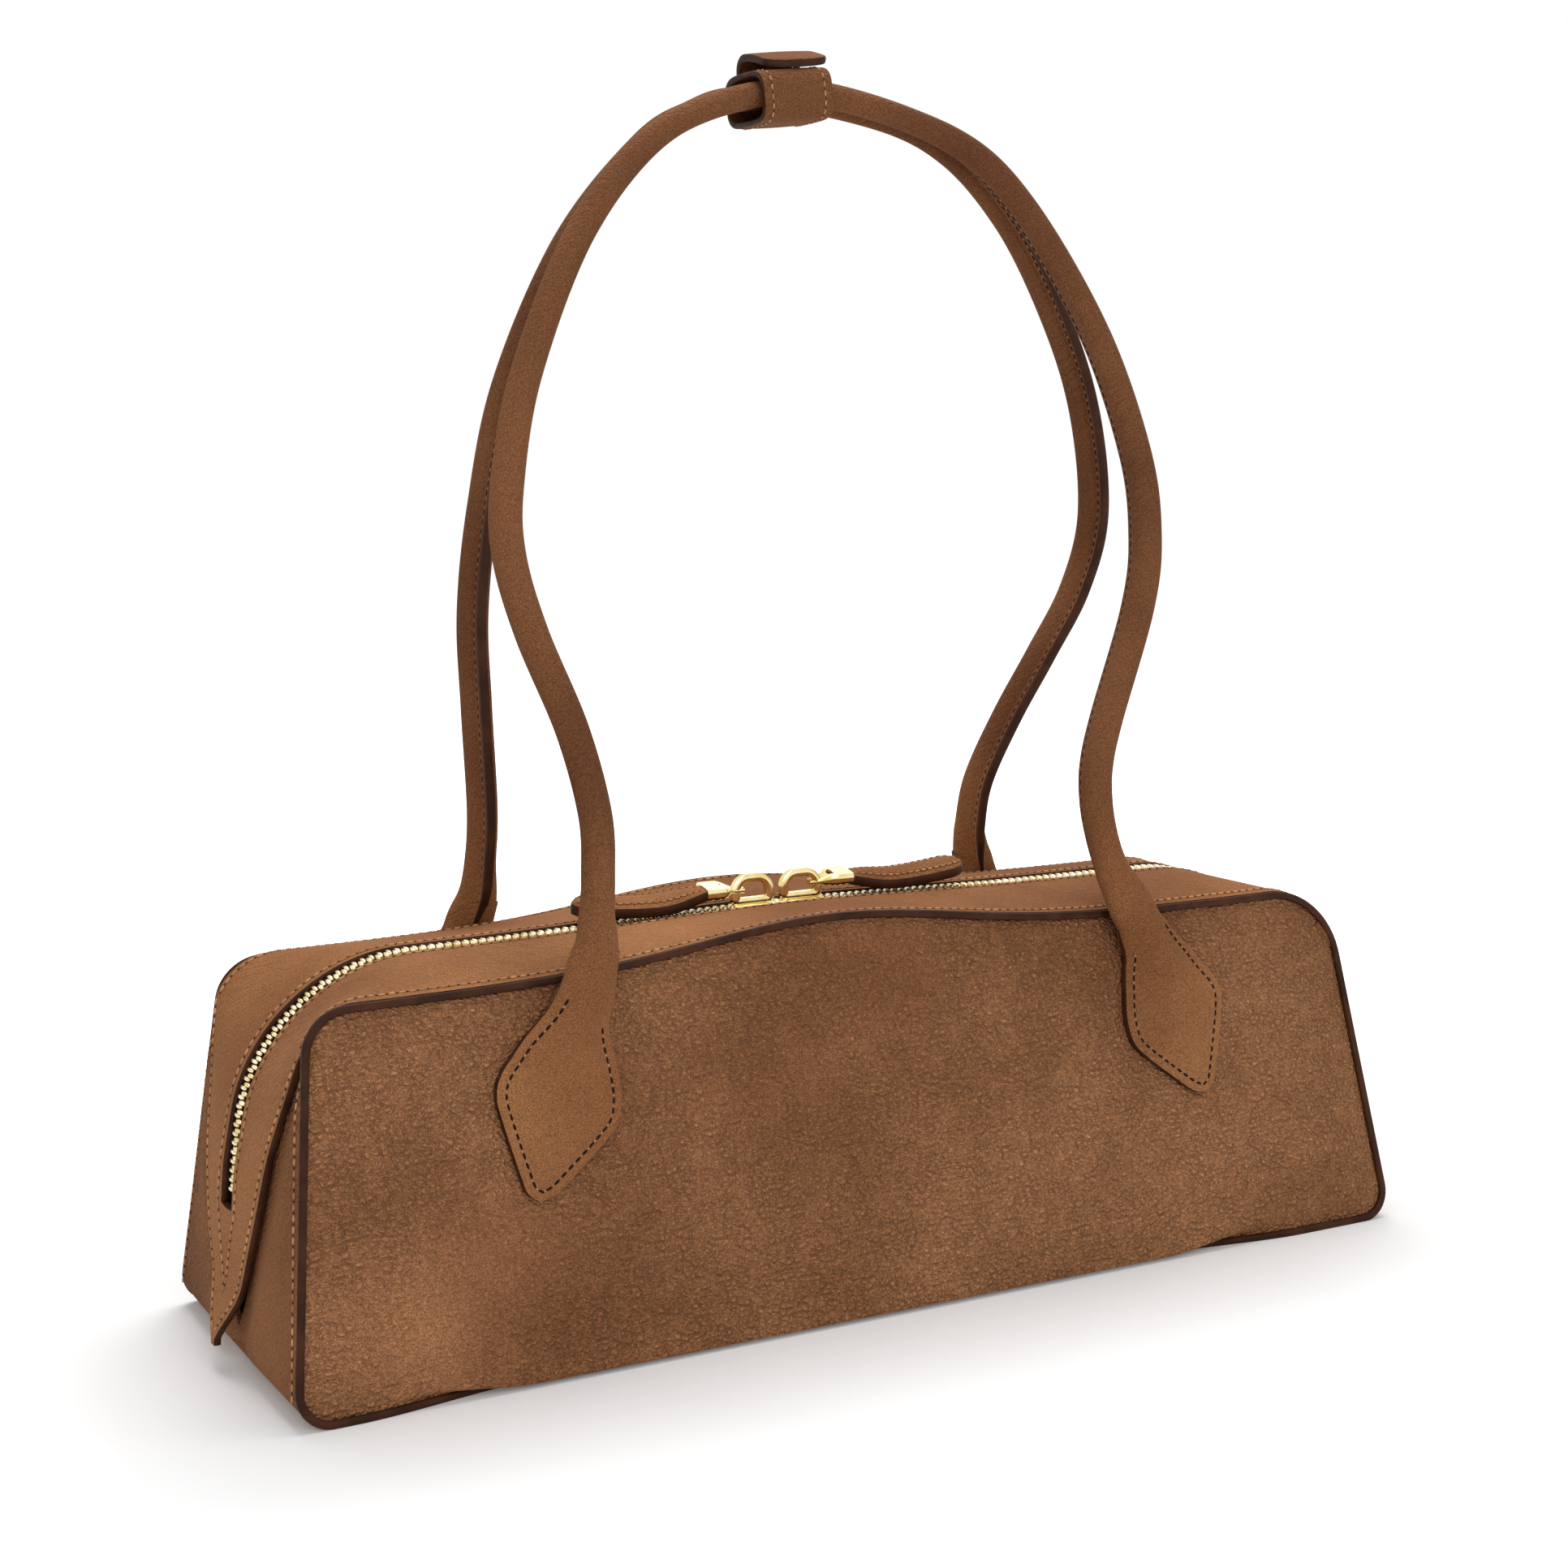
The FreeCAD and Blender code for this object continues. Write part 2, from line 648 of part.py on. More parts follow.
def build_slider(hand):
    """Slider on the chain with its bail, and the pull that hangs on the bail."""
    name = HAND_NAME[hand]
    spacing = size("slider_length") + gap
    centre_x = size("slider_meeting") + hand * spacing / 2
    swing = math.degrees(math.asin(centre_x / arch_radius))
    on_arch = Placement(Vector(), Rotation(Vector(0, 1, 0), swing), Vector(0, 0, arch_centre_z))
    # Pieces are drawn for the left slider on top of the arch and turned round for the right one.
    place = on_arch.multiply(Placement(Vector(0, 0, top_height), Rotation(Vector(0, 0, 1), 90 + 90 * hand)))

    half_width = size("slot_width") / 2 - gap
    half_post = size("slider_post") / 2
    plate = size("slider_plate")
    upper = -(tooth_offset - tooth_half - gap)
    lower = -(tooth_offset + tooth_half + gap)
    body = new_body("Body_%s_slider" % name, place)
    sketch = draw(body, name + "SliderSection", "YZ_Plane", [polygon([
        (-half_width, lower - plate),
        (half_width, lower - plate),
        (half_width, lower),
        (half_post, lower),
        (half_post, upper),
        (half_width, upper),
        (half_width, upper + plate),
        (-half_width, upper + plate),
        (-half_width, upper),
        (-half_post, upper),
        (-half_post, lower),
        (-half_width, lower),
    ])])
    pad(body, sketch, "sizes.slider_length", True)
    keep(body, name + "_slider_body")

    foot = upper + plate
    wire = size("bail_wire")
    head = foot + bail_height
    bail = new_body("Body_%s_bail" % name, place)

    def arch(inset):
        left = -half_bail + inset
        crown = head - inset
        bend = half_bail * BAIL_ROUNDING - inset
        return fillet_path(
            [(left, foot), (left, crown), (-left, crown), (-left, foot)],
            [bend, bend],
        )

    outer = arch(0.0)
    inner = arch(wire)
    feet = [
        Part.LineSegment(outer[0].StartPoint, inner[0].StartPoint),
        Part.LineSegment(outer[-1].EndPoint, inner[-1].EndPoint),
    ]
    sketch = draw(bail, name + "BailOutline", "XZ_Plane", [outer + inner + feet])
    pad(bail, sketch, "sizes.bail_width", True)
    keep(bail, name + "_slider_bail")
    build_pull(name, place, foot)


def build_pull(name, place, foot):
    """Forked clip whose pin passes through the bail, and the leather tab that it clamps."""
    pin_x = -half_bail + size("bail_wire") + gap + pin_radius
    turned = place.multiply(Placement(Vector(pin_x, 0, foot + pin_height), Rotation()))
    fork_inner = size("bail_width") / 2 + gap
    half_clip = fork_inner + size("clip_prong_width")
    # The fork's throat clears the bail's far upper corner as the pull swings over it.
    throat = -(math.hypot(half_bail + pin_x, bail_height - pin_height) + gap)
    tail = throat - size("clip_plate_length")
    clip = new_body("Body_%s_clip" % name, turned)
    fork = polygon([
        (pin_radius, fork_inner),
        (pin_radius, half_clip),
        (tail, half_clip),
        (tail, -half_clip),
        (pin_radius, -half_clip),
        (pin_radius, -fork_inner),
        (throat, -fork_inner),
        (throat, fork_inner),
    ])
    pad(clip, draw(clip, name + "ClipOutline", "XY_Plane", [fork]), "sizes.clip_sheet", True)
    pin_circle = Part.Circle(Vector(0, 0, 0), Vector(0, 0, 1), pin_radius)
    sketch = draw(clip, name + "PinOutline", "XZ_Plane", [[pin_circle]])
    bind_radius(sketch, 0, "sizes.pin_diameter / 2")
    across = "sizes.bail_width + 2 * sizes.seat_gap + 2 * sizes.clip_prong_width"
    pad(clip, sketch, across, True)
    keep(clip, name + "_pull_clip")

    tab = new_body("Body_%s_pull_tab" % name, turned)
    length = size("pull_tab_length")
    half_tab = size("pull_tab_width") / 2
    round_end = half_tab * PULL_TIP_ROUNDING
    slight = half_clip * PULL_ROOT_ROUNDING
    outline = rounded_polygon([
        (tail, half_clip),
        (tail - length / 2, half_tab),
        (tail - length, half_tab),
        (tail - length, -half_tab),
        (tail - length / 2, -half_tab),
        (tail, -half_clip),
    ], [slight, half_tab, round_end, round_end, half_tab, slight])
    sketch = draw(tab, name + "PullTabOutline", "XY_Plane", [outline])
    pad(tab, sketch, "sizes.pull_tab_thickness", True)
    keep(tab, name + "_pull_tab")


build_base()
for bag_side in (BACK, FRONT):
    build_side(bag_side)
    for bag_hand in (LEFT, RIGHT):
        build_tab(bag_side, bag_hand)
    build_handle(bag_side)
build_keeper()
for bag_hand in (LEFT, RIGHT):
    build_slider(bag_hand)
doc.recompute()

faults = [item.Label for item in doc.Objects if "Invalid" in item.State or "Error" in item.State]
for item in parts:
    if item.Shape.isNull() or not item.Shape.isValid() or not item.Shape.Solids:
        faults.append(item.Label)
if faults:
    raise RuntimeError("These pieces failed: " + ", ".join(faults))

os.makedirs("parts", exist_ok=True)
for item in parts:
    item.Shape.exportStep("parts/%s.step" % item.Label)
print("wrote %d sub-parts" % len(parts))
print("hinge y %.3f z %.3f tilt %.3f" % (neck_y, size("neck_height"), handle_tilt))
print("arch radius %.3f centre z %.3f" % (arch_radius, arch_centre_z))
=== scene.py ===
"""Baguette bag in brown nubuck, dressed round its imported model.

Lengths are in millimetres until a mesh is made. X runs along the bag, its front looks towards -Y and Z
is up.
"""
import json
import logging
import math
from dataclasses import dataclass, field
from enum import Enum
from typing import Sequence

import bmesh
import bpy
import numpy as np
from mathutils import Matrix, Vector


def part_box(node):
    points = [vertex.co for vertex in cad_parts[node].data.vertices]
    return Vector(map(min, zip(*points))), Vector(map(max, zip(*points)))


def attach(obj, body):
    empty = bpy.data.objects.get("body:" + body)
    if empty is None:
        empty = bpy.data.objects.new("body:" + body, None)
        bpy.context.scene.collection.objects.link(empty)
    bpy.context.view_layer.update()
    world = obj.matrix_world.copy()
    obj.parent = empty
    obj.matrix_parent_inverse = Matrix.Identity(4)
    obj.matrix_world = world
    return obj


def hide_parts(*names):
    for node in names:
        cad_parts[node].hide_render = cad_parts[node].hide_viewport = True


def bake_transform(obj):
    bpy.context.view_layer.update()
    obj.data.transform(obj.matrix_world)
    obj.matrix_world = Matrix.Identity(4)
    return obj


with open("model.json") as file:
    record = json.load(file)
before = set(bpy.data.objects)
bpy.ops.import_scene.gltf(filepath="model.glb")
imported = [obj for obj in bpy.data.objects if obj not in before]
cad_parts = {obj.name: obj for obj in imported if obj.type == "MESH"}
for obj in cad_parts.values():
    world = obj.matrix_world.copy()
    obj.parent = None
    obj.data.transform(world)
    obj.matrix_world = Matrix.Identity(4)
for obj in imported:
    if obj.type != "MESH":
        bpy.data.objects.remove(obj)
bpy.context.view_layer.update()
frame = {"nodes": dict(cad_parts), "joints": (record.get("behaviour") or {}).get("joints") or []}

MM = 0.001
LOG = logging.getLogger("baguette_bag")
Array = np.ndarray
Arrays = tuple[Array, Array]
Material = bpy.types.Material
Finishes = Sequence[Material]
Node = bpy.types.Node
Pair = tuple[float, float]
Piece = bpy.types.Object
Socket = bpy.types.NodeSocket
Tree = bpy.types.NodeTree

UP = np.array([0.0, 0.0, 1.0])
SHARP_ANGLE = math.radians(42.0)
WELD_DISTANCE = 2e-6


class Named(Enum):
    """Options that appear in the names of nodes."""

    @property
    def label(self) -> str:
        """Word for the option in a node's name."""
        return self.name.lower()


class Side(Named):
    """A long side of the bag, with the sign of its Y."""

    FRONT = -1
    BACK = 1


class Hand(Named):
    """An end of the bag, with the sign of its X."""

    LEFT = -1
    RIGHT = 1


# Vectors, curves and meshes


def ramp(low: float, high: float, value: Array) -> Array:
    """Shares that rise smoothly from 0 at a low value to 1 at a high one."""
    share = np.clip((np.asarray(value, float) - low) / (high - low), 0.0, 1.0)
    return share * share * (3.0 - 2.0 * share)


def unit(vectors: Array) -> Array:
    """Vectors along the last axis, scaled to length 1."""
    vectors = np.asarray(vectors, float)
    return vectors / np.maximum(np.linalg.norm(vectors, axis=-1, keepdims=True), 1e-9)


def arc_lengths(points: Array) -> Array:
    """Distance along a polyline at each of its points."""
    return np.concatenate([[0.0], np.cumsum(np.linalg.norm(np.diff(points, axis=0), axis=1))])


def at_lengths(points: Array, lengths: Array) -> Array:
    """Points of a polyline at distances along it."""
    along = arc_lengths(points)
    return np.stack([np.interp(lengths, along, column) for column in points.T], axis=-1)


def evenly(path: Array, count: int) -> Array:
    """Points spaced evenly along a path."""
    return at_lengths(path, np.linspace(0.0, arc_lengths(path)[-1], count))


def smooth_path(points: Sequence[Sequence[float]], steps: int) -> Array:
    """Smooth curve through points.

    Args:
        points: Points that the curve passes.
        steps: Samples between two points.

    Returns:
        Samples, from the first point to the last.
    """
    knots = np.asarray(points, float)
    knots = np.vstack([2 * knots[0] - knots[1], knots, 2 * knots[-1] - knots[-2]])
    share = np.linspace(0.0, 1.0, steps, endpoint=False)[:, None]
    runs = []
    for before, start, end, after in zip(knots, knots[1:], knots[2:], knots[3:]):
        way_in = (end - before) / 2
        way_out = (after - start) / 2
        cubic = 2 * (start - end) + way_in + way_out
        square = 3 * (end - start) - 2 * way_in - way_out
        runs.append(start + share * (way_in + share * (square + share * cubic)))
    return np.vstack(runs + [knots[-2:-1]])


def edge_distance(points: Array, outline: Array) -> Array:
    """Distance from points to a closed outline in the same plane.

    Args:
        points: Points in two dimensions.
        outline: Corners of the outline.

    Returns:
        One distance for each point.
    """
    runs = np.roll(outline, -1, axis=0) - outline
    squares = np.maximum((runs ** 2).sum(axis=1), 1e-9)
    nearest = np.full(len(points), np.inf)
    for start, run, square in zip(outline, runs, squares):
        share = np.clip(((points - start) @ run) / square, 0.0, 1.0)
        gap = np.linalg.norm(points - start - share[:, None] * run, axis=1)
        nearest = np.minimum(nearest, gap)
    return nearest


def squared(values: Array, power: float) -> Array:
    """Values from -1 to 1 drawn towards those ends, so that a circle turns squarer."""
    return np.sign(values) * np.abs(values) ** power


def box_of(node: str) -> Arrays:
    """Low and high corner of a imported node, in millimetres."""
    low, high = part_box(node)
    return np.array(low) / MM, np.array(high) / MM


def dress_node(node: str, finish: Material) -> None:
    """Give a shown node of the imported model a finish.

    Args:
        node: Name of the node.
        finish: Its material.
    """
    materials = frame["nodes"][node].data.materials
    materials.clear()
    materials.append(finish)


def solid(
    name: str, points: Array, faces: Sequence[Sequence[int]], finishes: Finishes, marks: Sequence[int]
) -> Piece:
    """Make a closed mesh with outward faces.

    Args:
        name: Name of the piece.
        points: Vertices in millimetres.
        faces: Corners of each face.
        finishes: Materials of the piece.
        marks: Index of each face's material.

    Returns:
        The new object, at the origin.
    """
    mesh = bpy.data.meshes.new(name)
    mesh.from_pydata((np.asarray(points) * MM).tolist(), [], faces)
    for finish in finishes:
        mesh.materials.append(finish)
    mesh.polygons.foreach_set("material_index", list(marks))
    work = bmesh.new()
    work.from_mesh(mesh)
    bmesh.ops.remove_doubles(work, verts=work.verts, dist=WELD_DISTANCE)
    bmesh.ops.recalc_face_normals(work, faces=work.faces)
    work.to_mesh(mesh)
    work.free()
    mesh.polygons.foreach_set("use_smooth", [True] * len(mesh.polygons))
    mesh.set_sharp_from_angle(angle=SHARP_ANGLE)
    mesh.update()
    piece = bpy.data.objects.new(name, mesh)
    bpy.context.scene.collection.objects.link(piece)
    return piece


def loft(
    name: str,
    rings: Array,
    finishes: Finishes,
    column_marks: Sequence[int] | None = None,
    closed: bool = False,
    cap_mark: int = 0,
) -> Piece:
    """Skin a row of closed rings.

    Args:
        name: Name of the piece.
        rings: Ring points, by ring and by place on the ring.
        finishes: Materials of the piece.
        column_marks: Material of the strip after each place on the ring.
        closed: Whether the last ring meets the first, instead of a cap at each end.
        cap_mark: Material of the caps.

    Returns:
        The new object.
    """
    rings = np.asarray(rings, float)
    rows, columns, _ = rings.shape
    strip = list(column_marks) if column_marks is not None else [0] * columns
    faces = []
    marks = []
    for row in range(rows if closed else rows - 1):
        here = row * columns
        there = (row + 1) % rows * columns
        for column in range(columns):
            after = (column + 1) % columns
            faces.append((here + column, here + after, there + after, there + column))
        marks.extend(strip)
    if not closed:
        faces.append(tuple(range(columns)))
        faces.append(tuple((rows - 1) * columns + column for column in range(columns)))
        marks.extend([cap_mark, cap_mark])
    return solid(name, rings.reshape(-1, 3), faces, finishes, marks)


RIM_STEPS = 4


def shell(
    name: str,
    outer: Array,
    inner: Array,
    finishes: Finishes,
    rim_marks: tuple[int, int] = (0, 0),
    rim_bulge: float = 0.3,
    inner_mark: int = 0,
) -> Piece:
    """Close a sheet between its outer and inner faces, with rounded long edges.

    Args:
        name: Name of the piece.
        outer: Grid of points of the outer face.
        inner: Grid of points of the inner face.
        finishes: Materials of the piece.
        rim_marks: Materials of the edges at the grid's first and last column.
        rim_bulge: How far the edges bulge out.
        inner_mark: Material of the inner face.

    Returns:
        The new object.
    """
    share = np.linspace(0.0, 1.0, RIM_STEPS + 2)[1:-1, None]
    swell = rim_bulge * np.sin(math.pi * share)
    rings = []
    for top, bottom in zip(outer, inner):
        out_last = unit(top[-1] - top[-2])
        out_first = unit(top[0] - top[1])
        last_rim = top[-1] + share * (bottom[-1] - top[-1]) + swell * out_last
        first_rim = bottom[0] + share * (top[0] - bottom[0]) + swell * out_first
        rings.append(np.vstack([top, last_rim, bottom[::-1], first_rim]))
    width = outer.shape[1]
    marks = [0] * (width - 1) + [rim_marks[1]] * (RIM_STEPS + 1)
    marks += [inner_mark] * (width - 1) + [rim_marks[0]] * (RIM_STEPS + 1)
    return loft(name, np.array(rings), finishes, marks, cap_mark=rim_marks[1])


STRAP_TOP_STEPS = 9
STRAP_MARKS = [0] * (STRAP_TOP_STEPS - 1) + [1] * 5 + [0] * (STRAP_TOP_STEPS - 1) + [1] * 5


def strap_ring(
    centre: Array, across: Array, up: Array, half_width: float, thickness: float, dome: float
) -> Array:
    """Section of a flat strap with rounded, painted edges.

    Args:
        centre: Middle of the section.
        across: Unit vector across the strap.
        up: Unit vector out of its top.
        half_width: Half of its width.
        thickness: Thickness at its edges.
        dome: How much higher its middle stands.

    Returns:
        The points of the ring: top, edge, bottom, edge.
    """
    share = np.linspace(-1.0, 1.0, STRAP_TOP_STEPS)
    half = thickness / 2
    round_by = min(half * 0.8, half_width * 0.5)
    flat = share * (half_width - round_by * 0.5)
    top = np.stack([flat, half + dome * (1 - share ** 2)], axis=1)
    turns = np.linspace(math.pi / 2, -math.pi / 2, 6)[1:-1]
    edge = np.stack([half_width - round_by * (1 - np.cos(turns)) * 0.7, half * np.sin(turns)], axis=1)
    bottom = np.stack([flat[::-1], np.full(len(share), -half)], axis=1)
    ring = np.vstack([top, edge, bottom, edge[::-1] * [-1, 1]])
    return centre + ring[:, :1] * across + ring[:, 1:] * up


# Finishes

Colour = tuple[float, float, float, float]
Tint = tuple[int, int, int]


def tint(red: int, green: int, blue: int) -> Colour:
    """Linear colour of a tint given as 8-bit screen values."""
    shares = [value / 255.0 for value in (red, green, blue)]
    linear = [s / 12.92 if s <= 0.04045 else ((s + 0.055) / 1.055) ** 2.4 for s in shares]
    return (*linear, 1.0)


def dimmed(colour: Colour, share: float) -> Colour:
    """Colour with each channel scaled by a share."""
    return tuple(value * share for value in colour[:3]) + (1.0,)


class NodeBoard:
    """Places nodes on a tree and joins them."""

    def __init__(self, tree: Tree) -> None:
        """Keep the tree that the nodes go on, without any that it came with."""
        self.tree = tree
        tree.nodes.clear()

    def feed(self, node: Node, inputs: dict) -> None:
        """Set a node's inputs.

        Args:
            node: The node.
            inputs: Values or output sockets, by input name or index.
        """
        for key, value in inputs.items():
            if isinstance(value, Socket):
                self.tree.links.new(value, node.inputs[key])
            else:
                node.inputs[key].default_value = value

    def add(self, kind: str, inputs: dict | None = None, **settings: object) -> Node:
        """Add a node.

        Args:
            kind: Blender's name of the node type.
            inputs: Values or output sockets, by input name or index.
            settings: Properties of the node.

        Returns:
            The node.
        """
        node = self.tree.nodes.new(kind)
        for key, value in settings.items():
            setattr(node, key, value)
        self.feed(node, inputs or {})
        return node

    def out(self, kind: str, inputs: dict | None = None, **settings: object) -> Socket:
        """First output of a new node."""
        return self.add(kind, inputs, **settings).outputs[0]

    def joined(self, values: Sequence[object]) -> Socket:
        """Vector of three values."""
        return self.out("ShaderNodeCombineXYZ", dict(enumerate(values)))

    def place(self) -> Socket:
        """Place on the piece."""
        return self.add("ShaderNodeTexCoord").outputs["Object"]

    def maths(self, operation: str, *values: object) -> Socket:
        """Result of an operation on values."""
        return self.out("ShaderNodeMath", dict(enumerate(values)), operation=operation)

    def vector(self, operation: str, *values: object) -> Node:
        """Node of an operation on vectors."""
        return self.add("ShaderNodeVectorMath", dict(enumerate(values)), operation=operation)

    def remap(self, value: object, low: float, high: float, start: float, end: float) -> Socket:
        """Value moved smoothly from one range to another."""
        inputs = {"Value": value, 1: low, 2: high, 3: start, 4: end}
        return self.out("ShaderNodeMapRange", inputs, interpolation_type="SMOOTHSTEP")

    def blend(self, share: object, first: object, second: object) -> Socket:
        """Colour between two colours."""
        return self.out("ShaderNodeMixRGB", {"Fac": share, "Color1": first, "Color2": second})

    def noise(self, place: object, scale: object, detail: float) -> Node:
        """Noise texture at a place."""
        return self.add("ShaderNodeTexNoise", {"Vector": place, "Scale": scale, "Detail": detail})

    def bump(self, height: object, distance: float, strength: float) -> Socket:
        """Normal of a surface with a height."""
        inputs = {"Height": height, "Distance": distance, "Strength": strength}
        return self.out("ShaderNodeBump", inputs)


def effect_group(
    name: str, inputs: dict[str, float], outputs: Sequence[str]
) -> tuple[NodeBoard, Node, Node]:
    """Start a shader node group of numbers.

    Args:
        name: Name of the group.
        inputs: Names and default values of its inputs.
        outputs: Names of its outputs.

    Returns:
        Its board, its input node and its output node.
    """
    tree = bpy.data.node_groups.new(name, "ShaderNodeTree")
    for label, value in inputs.items():
        socket = tree.interface.new_socket(label, in_out="INPUT", socket_type="NodeSocketFloat")
        socket.default_value = value
    for label in outputs:
        tree.interface.new_socket(label, in_out="OUTPUT", socket_type="NodeSocketFloat")
    board = NodeBoard(tree)
    return board, board.add("NodeGroupInput"), board.add("NodeGroupOutput")


GRAIN_INPUTS = {"Cells": 620.0, "Patches": 10.0, "Smoothness": 0.5}
# Directions that lay the bag's leather out flat, so that the grain runs on over its edges.
GRAIN_FLAT = ((0.85, 0.8, 0.0), (0.0, 0.6, 1.0))
# Drifts of the cells: share of the cells' scale, and reach in metres.
GRAIN_DRIFTS = ((0.1, 0.0034), (0.8, 0.0003))
# Nets of creases: share of the cells' scale, and strength.
GRAIN_NETS = ((1.0, 1.0), (0.55, 0.75))
CREASE_WIDTH = 0.15
PEBBLE_WIDTH = 0.4
BREAK_SCALE = 0.3
CLOUD_SCALE = 14.0
NAP_SCALE = 2800.0
NAP_HEIGHT = 0.25


def nubuck_grain_group() -> Tree:
    """Make the group for sanded leather: pebble creases, cloudy tone, nap and height.

    Returns:
        The group.
    """
    board, entry, leave = effect_group("Nubuck grain", GRAIN_INPUTS, ("Crease", "Cloud", "Nap", "Height"))
    given = entry.outputs
    place = board.place()
    laid = [board.vector("DOT_PRODUCT", place, direction).outputs["Value"] for direction in GRAIN_FLAT]
    moved = board.joined(laid)
    for scale_share, reach in GRAIN_DRIFTS:
        scale = board.maths("MULTIPLY", given["Cells"], scale_share)
        drift = board.noise(place, scale, 1.0).outputs["Color"]
        scaled = board.vector("SCALE", board.vector("SUBTRACT", drift, (0.5, 0.5, 0.5)).outputs[0])
        scaled.inputs["Scale"].default_value = reach
        moved = board.vector("ADD", moved, scaled.outputs[0]).outputs[0]
    creases, pebbles = [], []
    for scale_share, strength in GRAIN_NETS:
        scale = board.maths("MULTIPLY", given["Cells"], scale_share)
        inputs = {"Vector": moved, "Scale": scale, "Randomness": 0.9}
        kind = {"voronoi_dimensions": "2D", "feature": "DISTANCE_TO_EDGE"}
        cells = board.add("ShaderNodeTexVoronoi", inputs, **kind).outputs["Distance"]
        creases.append(board.remap(cells, 0.0, CREASE_WIDTH * scale_share, strength, 0.0))
        pebbles.append(board.remap(cells, 0.0, PEBBLE_WIDTH * scale_share, 0.0, strength))
    break_scale = board.maths("MULTIPLY", given["Cells"], BREAK_SCALE)
    whole = board.remap(board.noise(place, break_scale, 1.0).outputs["Fac"], 0.3, 0.58, 0.4, 1.0)
    patch_noise = board.noise(place, given["Patches"], 1.0).outputs["Fac"]
    patch = board.remap(board.maths("SUBTRACT", patch_noise, given["Smoothness"]), -0.2, 0.1, 0.25, 1.0)
    lines = board.maths("MULTIPLY", board.maths("MAXIMUM", *creases), whole)
    pebble = board.maths("MULTIPLY", board.maths("ADD", *pebbles), patch)
    nap = board.noise(place, NAP_SCALE, 2.0).outputs["Fac"]
    board.feed(leave, {
        "Crease": board.maths("MULTIPLY", lines, patch),
        "Cloud": board.remap(board.noise(place, CLOUD_SCALE, 3.0).outputs["Fac"], 0.25, 0.75, 0.0, 1.0),
        "Nap": nap,
        "Height": board.maths("MULTIPLY_ADD", nap, NAP_HEIGHT, pebble),
    })
    return board.tree


def weave_group() -> Tree:
    """Make the group for woven cloth: two crossing threads.

    Returns:
        The group.
    """
    board, entry, leave = effect_group("Plain weave", {"Threads": 1800.0}, ("Thread", "Height"))
    inputs = {"Vector": board.place(), "Scale": entry.outputs["Threads"]}
    waves = []
    for direction in ("X", "DIAGONAL"):
        wave = board.add("ShaderNodeTexWave", inputs, bands_direction=direction)
        waves.append(wave.outputs["Fac"])
    board.feed(leave, {
        "Thread": board.maths("MULTIPLY", *waves),
        "Height": board.maths("MAXIMUM", *waves),
    })
    return board.tree


def wear_group() -> Tree:
    """Make the group for small unevenness: slow tone and fine scuffs.

    Returns:
        The group.
    """
    board, entry, leave = effect_group("Small wear", {"Tone": 120.0, "Scuffs": 900.0}, ("Tone", "Scuff"))
    place = board.place()
    board.feed(leave, {
        "Tone": board.noise(place, entry.outputs["Tone"], 3.0).outputs["Fac"],
        "Scuff": board.noise(place, entry.outputs["Scuffs"], 2.0).outputs["Fac"],
    })
    return board.tree


@dataclass(frozen=True)
class Finish:
    """A finish with a name; each kind makes its own material."""

    name: str

    def start(self) -> tuple[NodeBoard, Node, Material]:
        """Start a material that holds only a Principled shader.

        Returns:
            The material's board, its shader and the material.
        """
        material = bpy.data.materials.new(self.name)
        material.use_nodes = True
        board = NodeBoard(material.node_tree)
        shader = board.add("ShaderNodeBsdfPrincipled")
        board.add("ShaderNodeOutputMaterial", {"Surface": shader.outputs[0]})
        return board, shader, material


@dataclass(frozen=True)
class NubuckFinish(Finish):
    """Sanded leather with pebble creases, a cloudy tone and specks of lighter and darker nap."""

    grain: Tree
    dark: Colour
    light: Colour
    smoothness: float
    crease_share: float
    depth: float
    speck_dark: float = 0.68
    speck_light: float = 1.3
    # Share of the dark tone that the creases turn to: partly their own dark lines and partly painted shade.
    crease_tone: float = 0.3
    bump: float = 0.9
    roughness: Pair = (0.82, 0.97)
    specular: float = 0.12
    sheen: float = 0.04
    sheen_roughness: float = 0.45
    foot: tuple[Colour, Colour] | None = None
    foot_run: Pair = (0.104, 0.15)

    def napped(self, board: NodeBoard, grain: Node, dark: Colour, light: Colour) -> Socket:
        """Cloudy tone between two colours with lighter and darker nap.

        Args:
            board: The material's board.
            grain: The grain group's node.
            dark: Colour of the dark clouds.
            light: Colour of the light clouds.

        Returns:
            The colour's socket.
        """
        tones = []
        for share in (self.speck_dark, self.speck_light):
            tones.append(board.blend(grain.outputs["Cloud"], dimmed(dark, share), dimmed(light, share)))
        return board.blend(board.remap(grain.outputs["Nap"], 0.35, 0.65, 0.0, 1.0), *tones)

    def material(self) -> Material:
        """Make the material, which takes the foot's tones, if any, below the given run of heights.

        Returns:
            The material.
        """
        board, shader, material = self.start()
        grain = board.add("ShaderNodeGroup", {"Smoothness": self.smoothness}, node_tree=self.grain)
        napped = self.napped(board, grain, self.dark, self.light)
        if self.foot:
            height = board.add("ShaderNodeSeparateXYZ", {0: board.place()}).outputs["Z"]
            above = board.remap(height, *self.foot_run, 0.0, 1.0)
            napped = board.blend(above, self.napped(board, grain, *self.foot), napped)
        # Creases turn towards a dim copy of the dark tone: partly the grain's own dark lines and partly
        # painted shade in the crease valleys.
        crease = board.maths("MULTIPLY", grain.outputs["Crease"], self.crease_share)
        board.feed(shader, {
            "Base Color": board.blend(crease, napped, dimmed(self.dark, self.crease_tone)),
            "Normal": board.bump(grain.outputs["Height"], self.depth, self.bump),
            "Roughness": board.remap(grain.outputs["Nap"], 0.2, 0.8, *self.roughness),
            "Specular IOR Level": self.specular,
            "Sheen Weight": self.sheen,
            "Sheen Roughness": self.sheen_roughness,
            "Sheen Tint": self.light,
        })
        return material


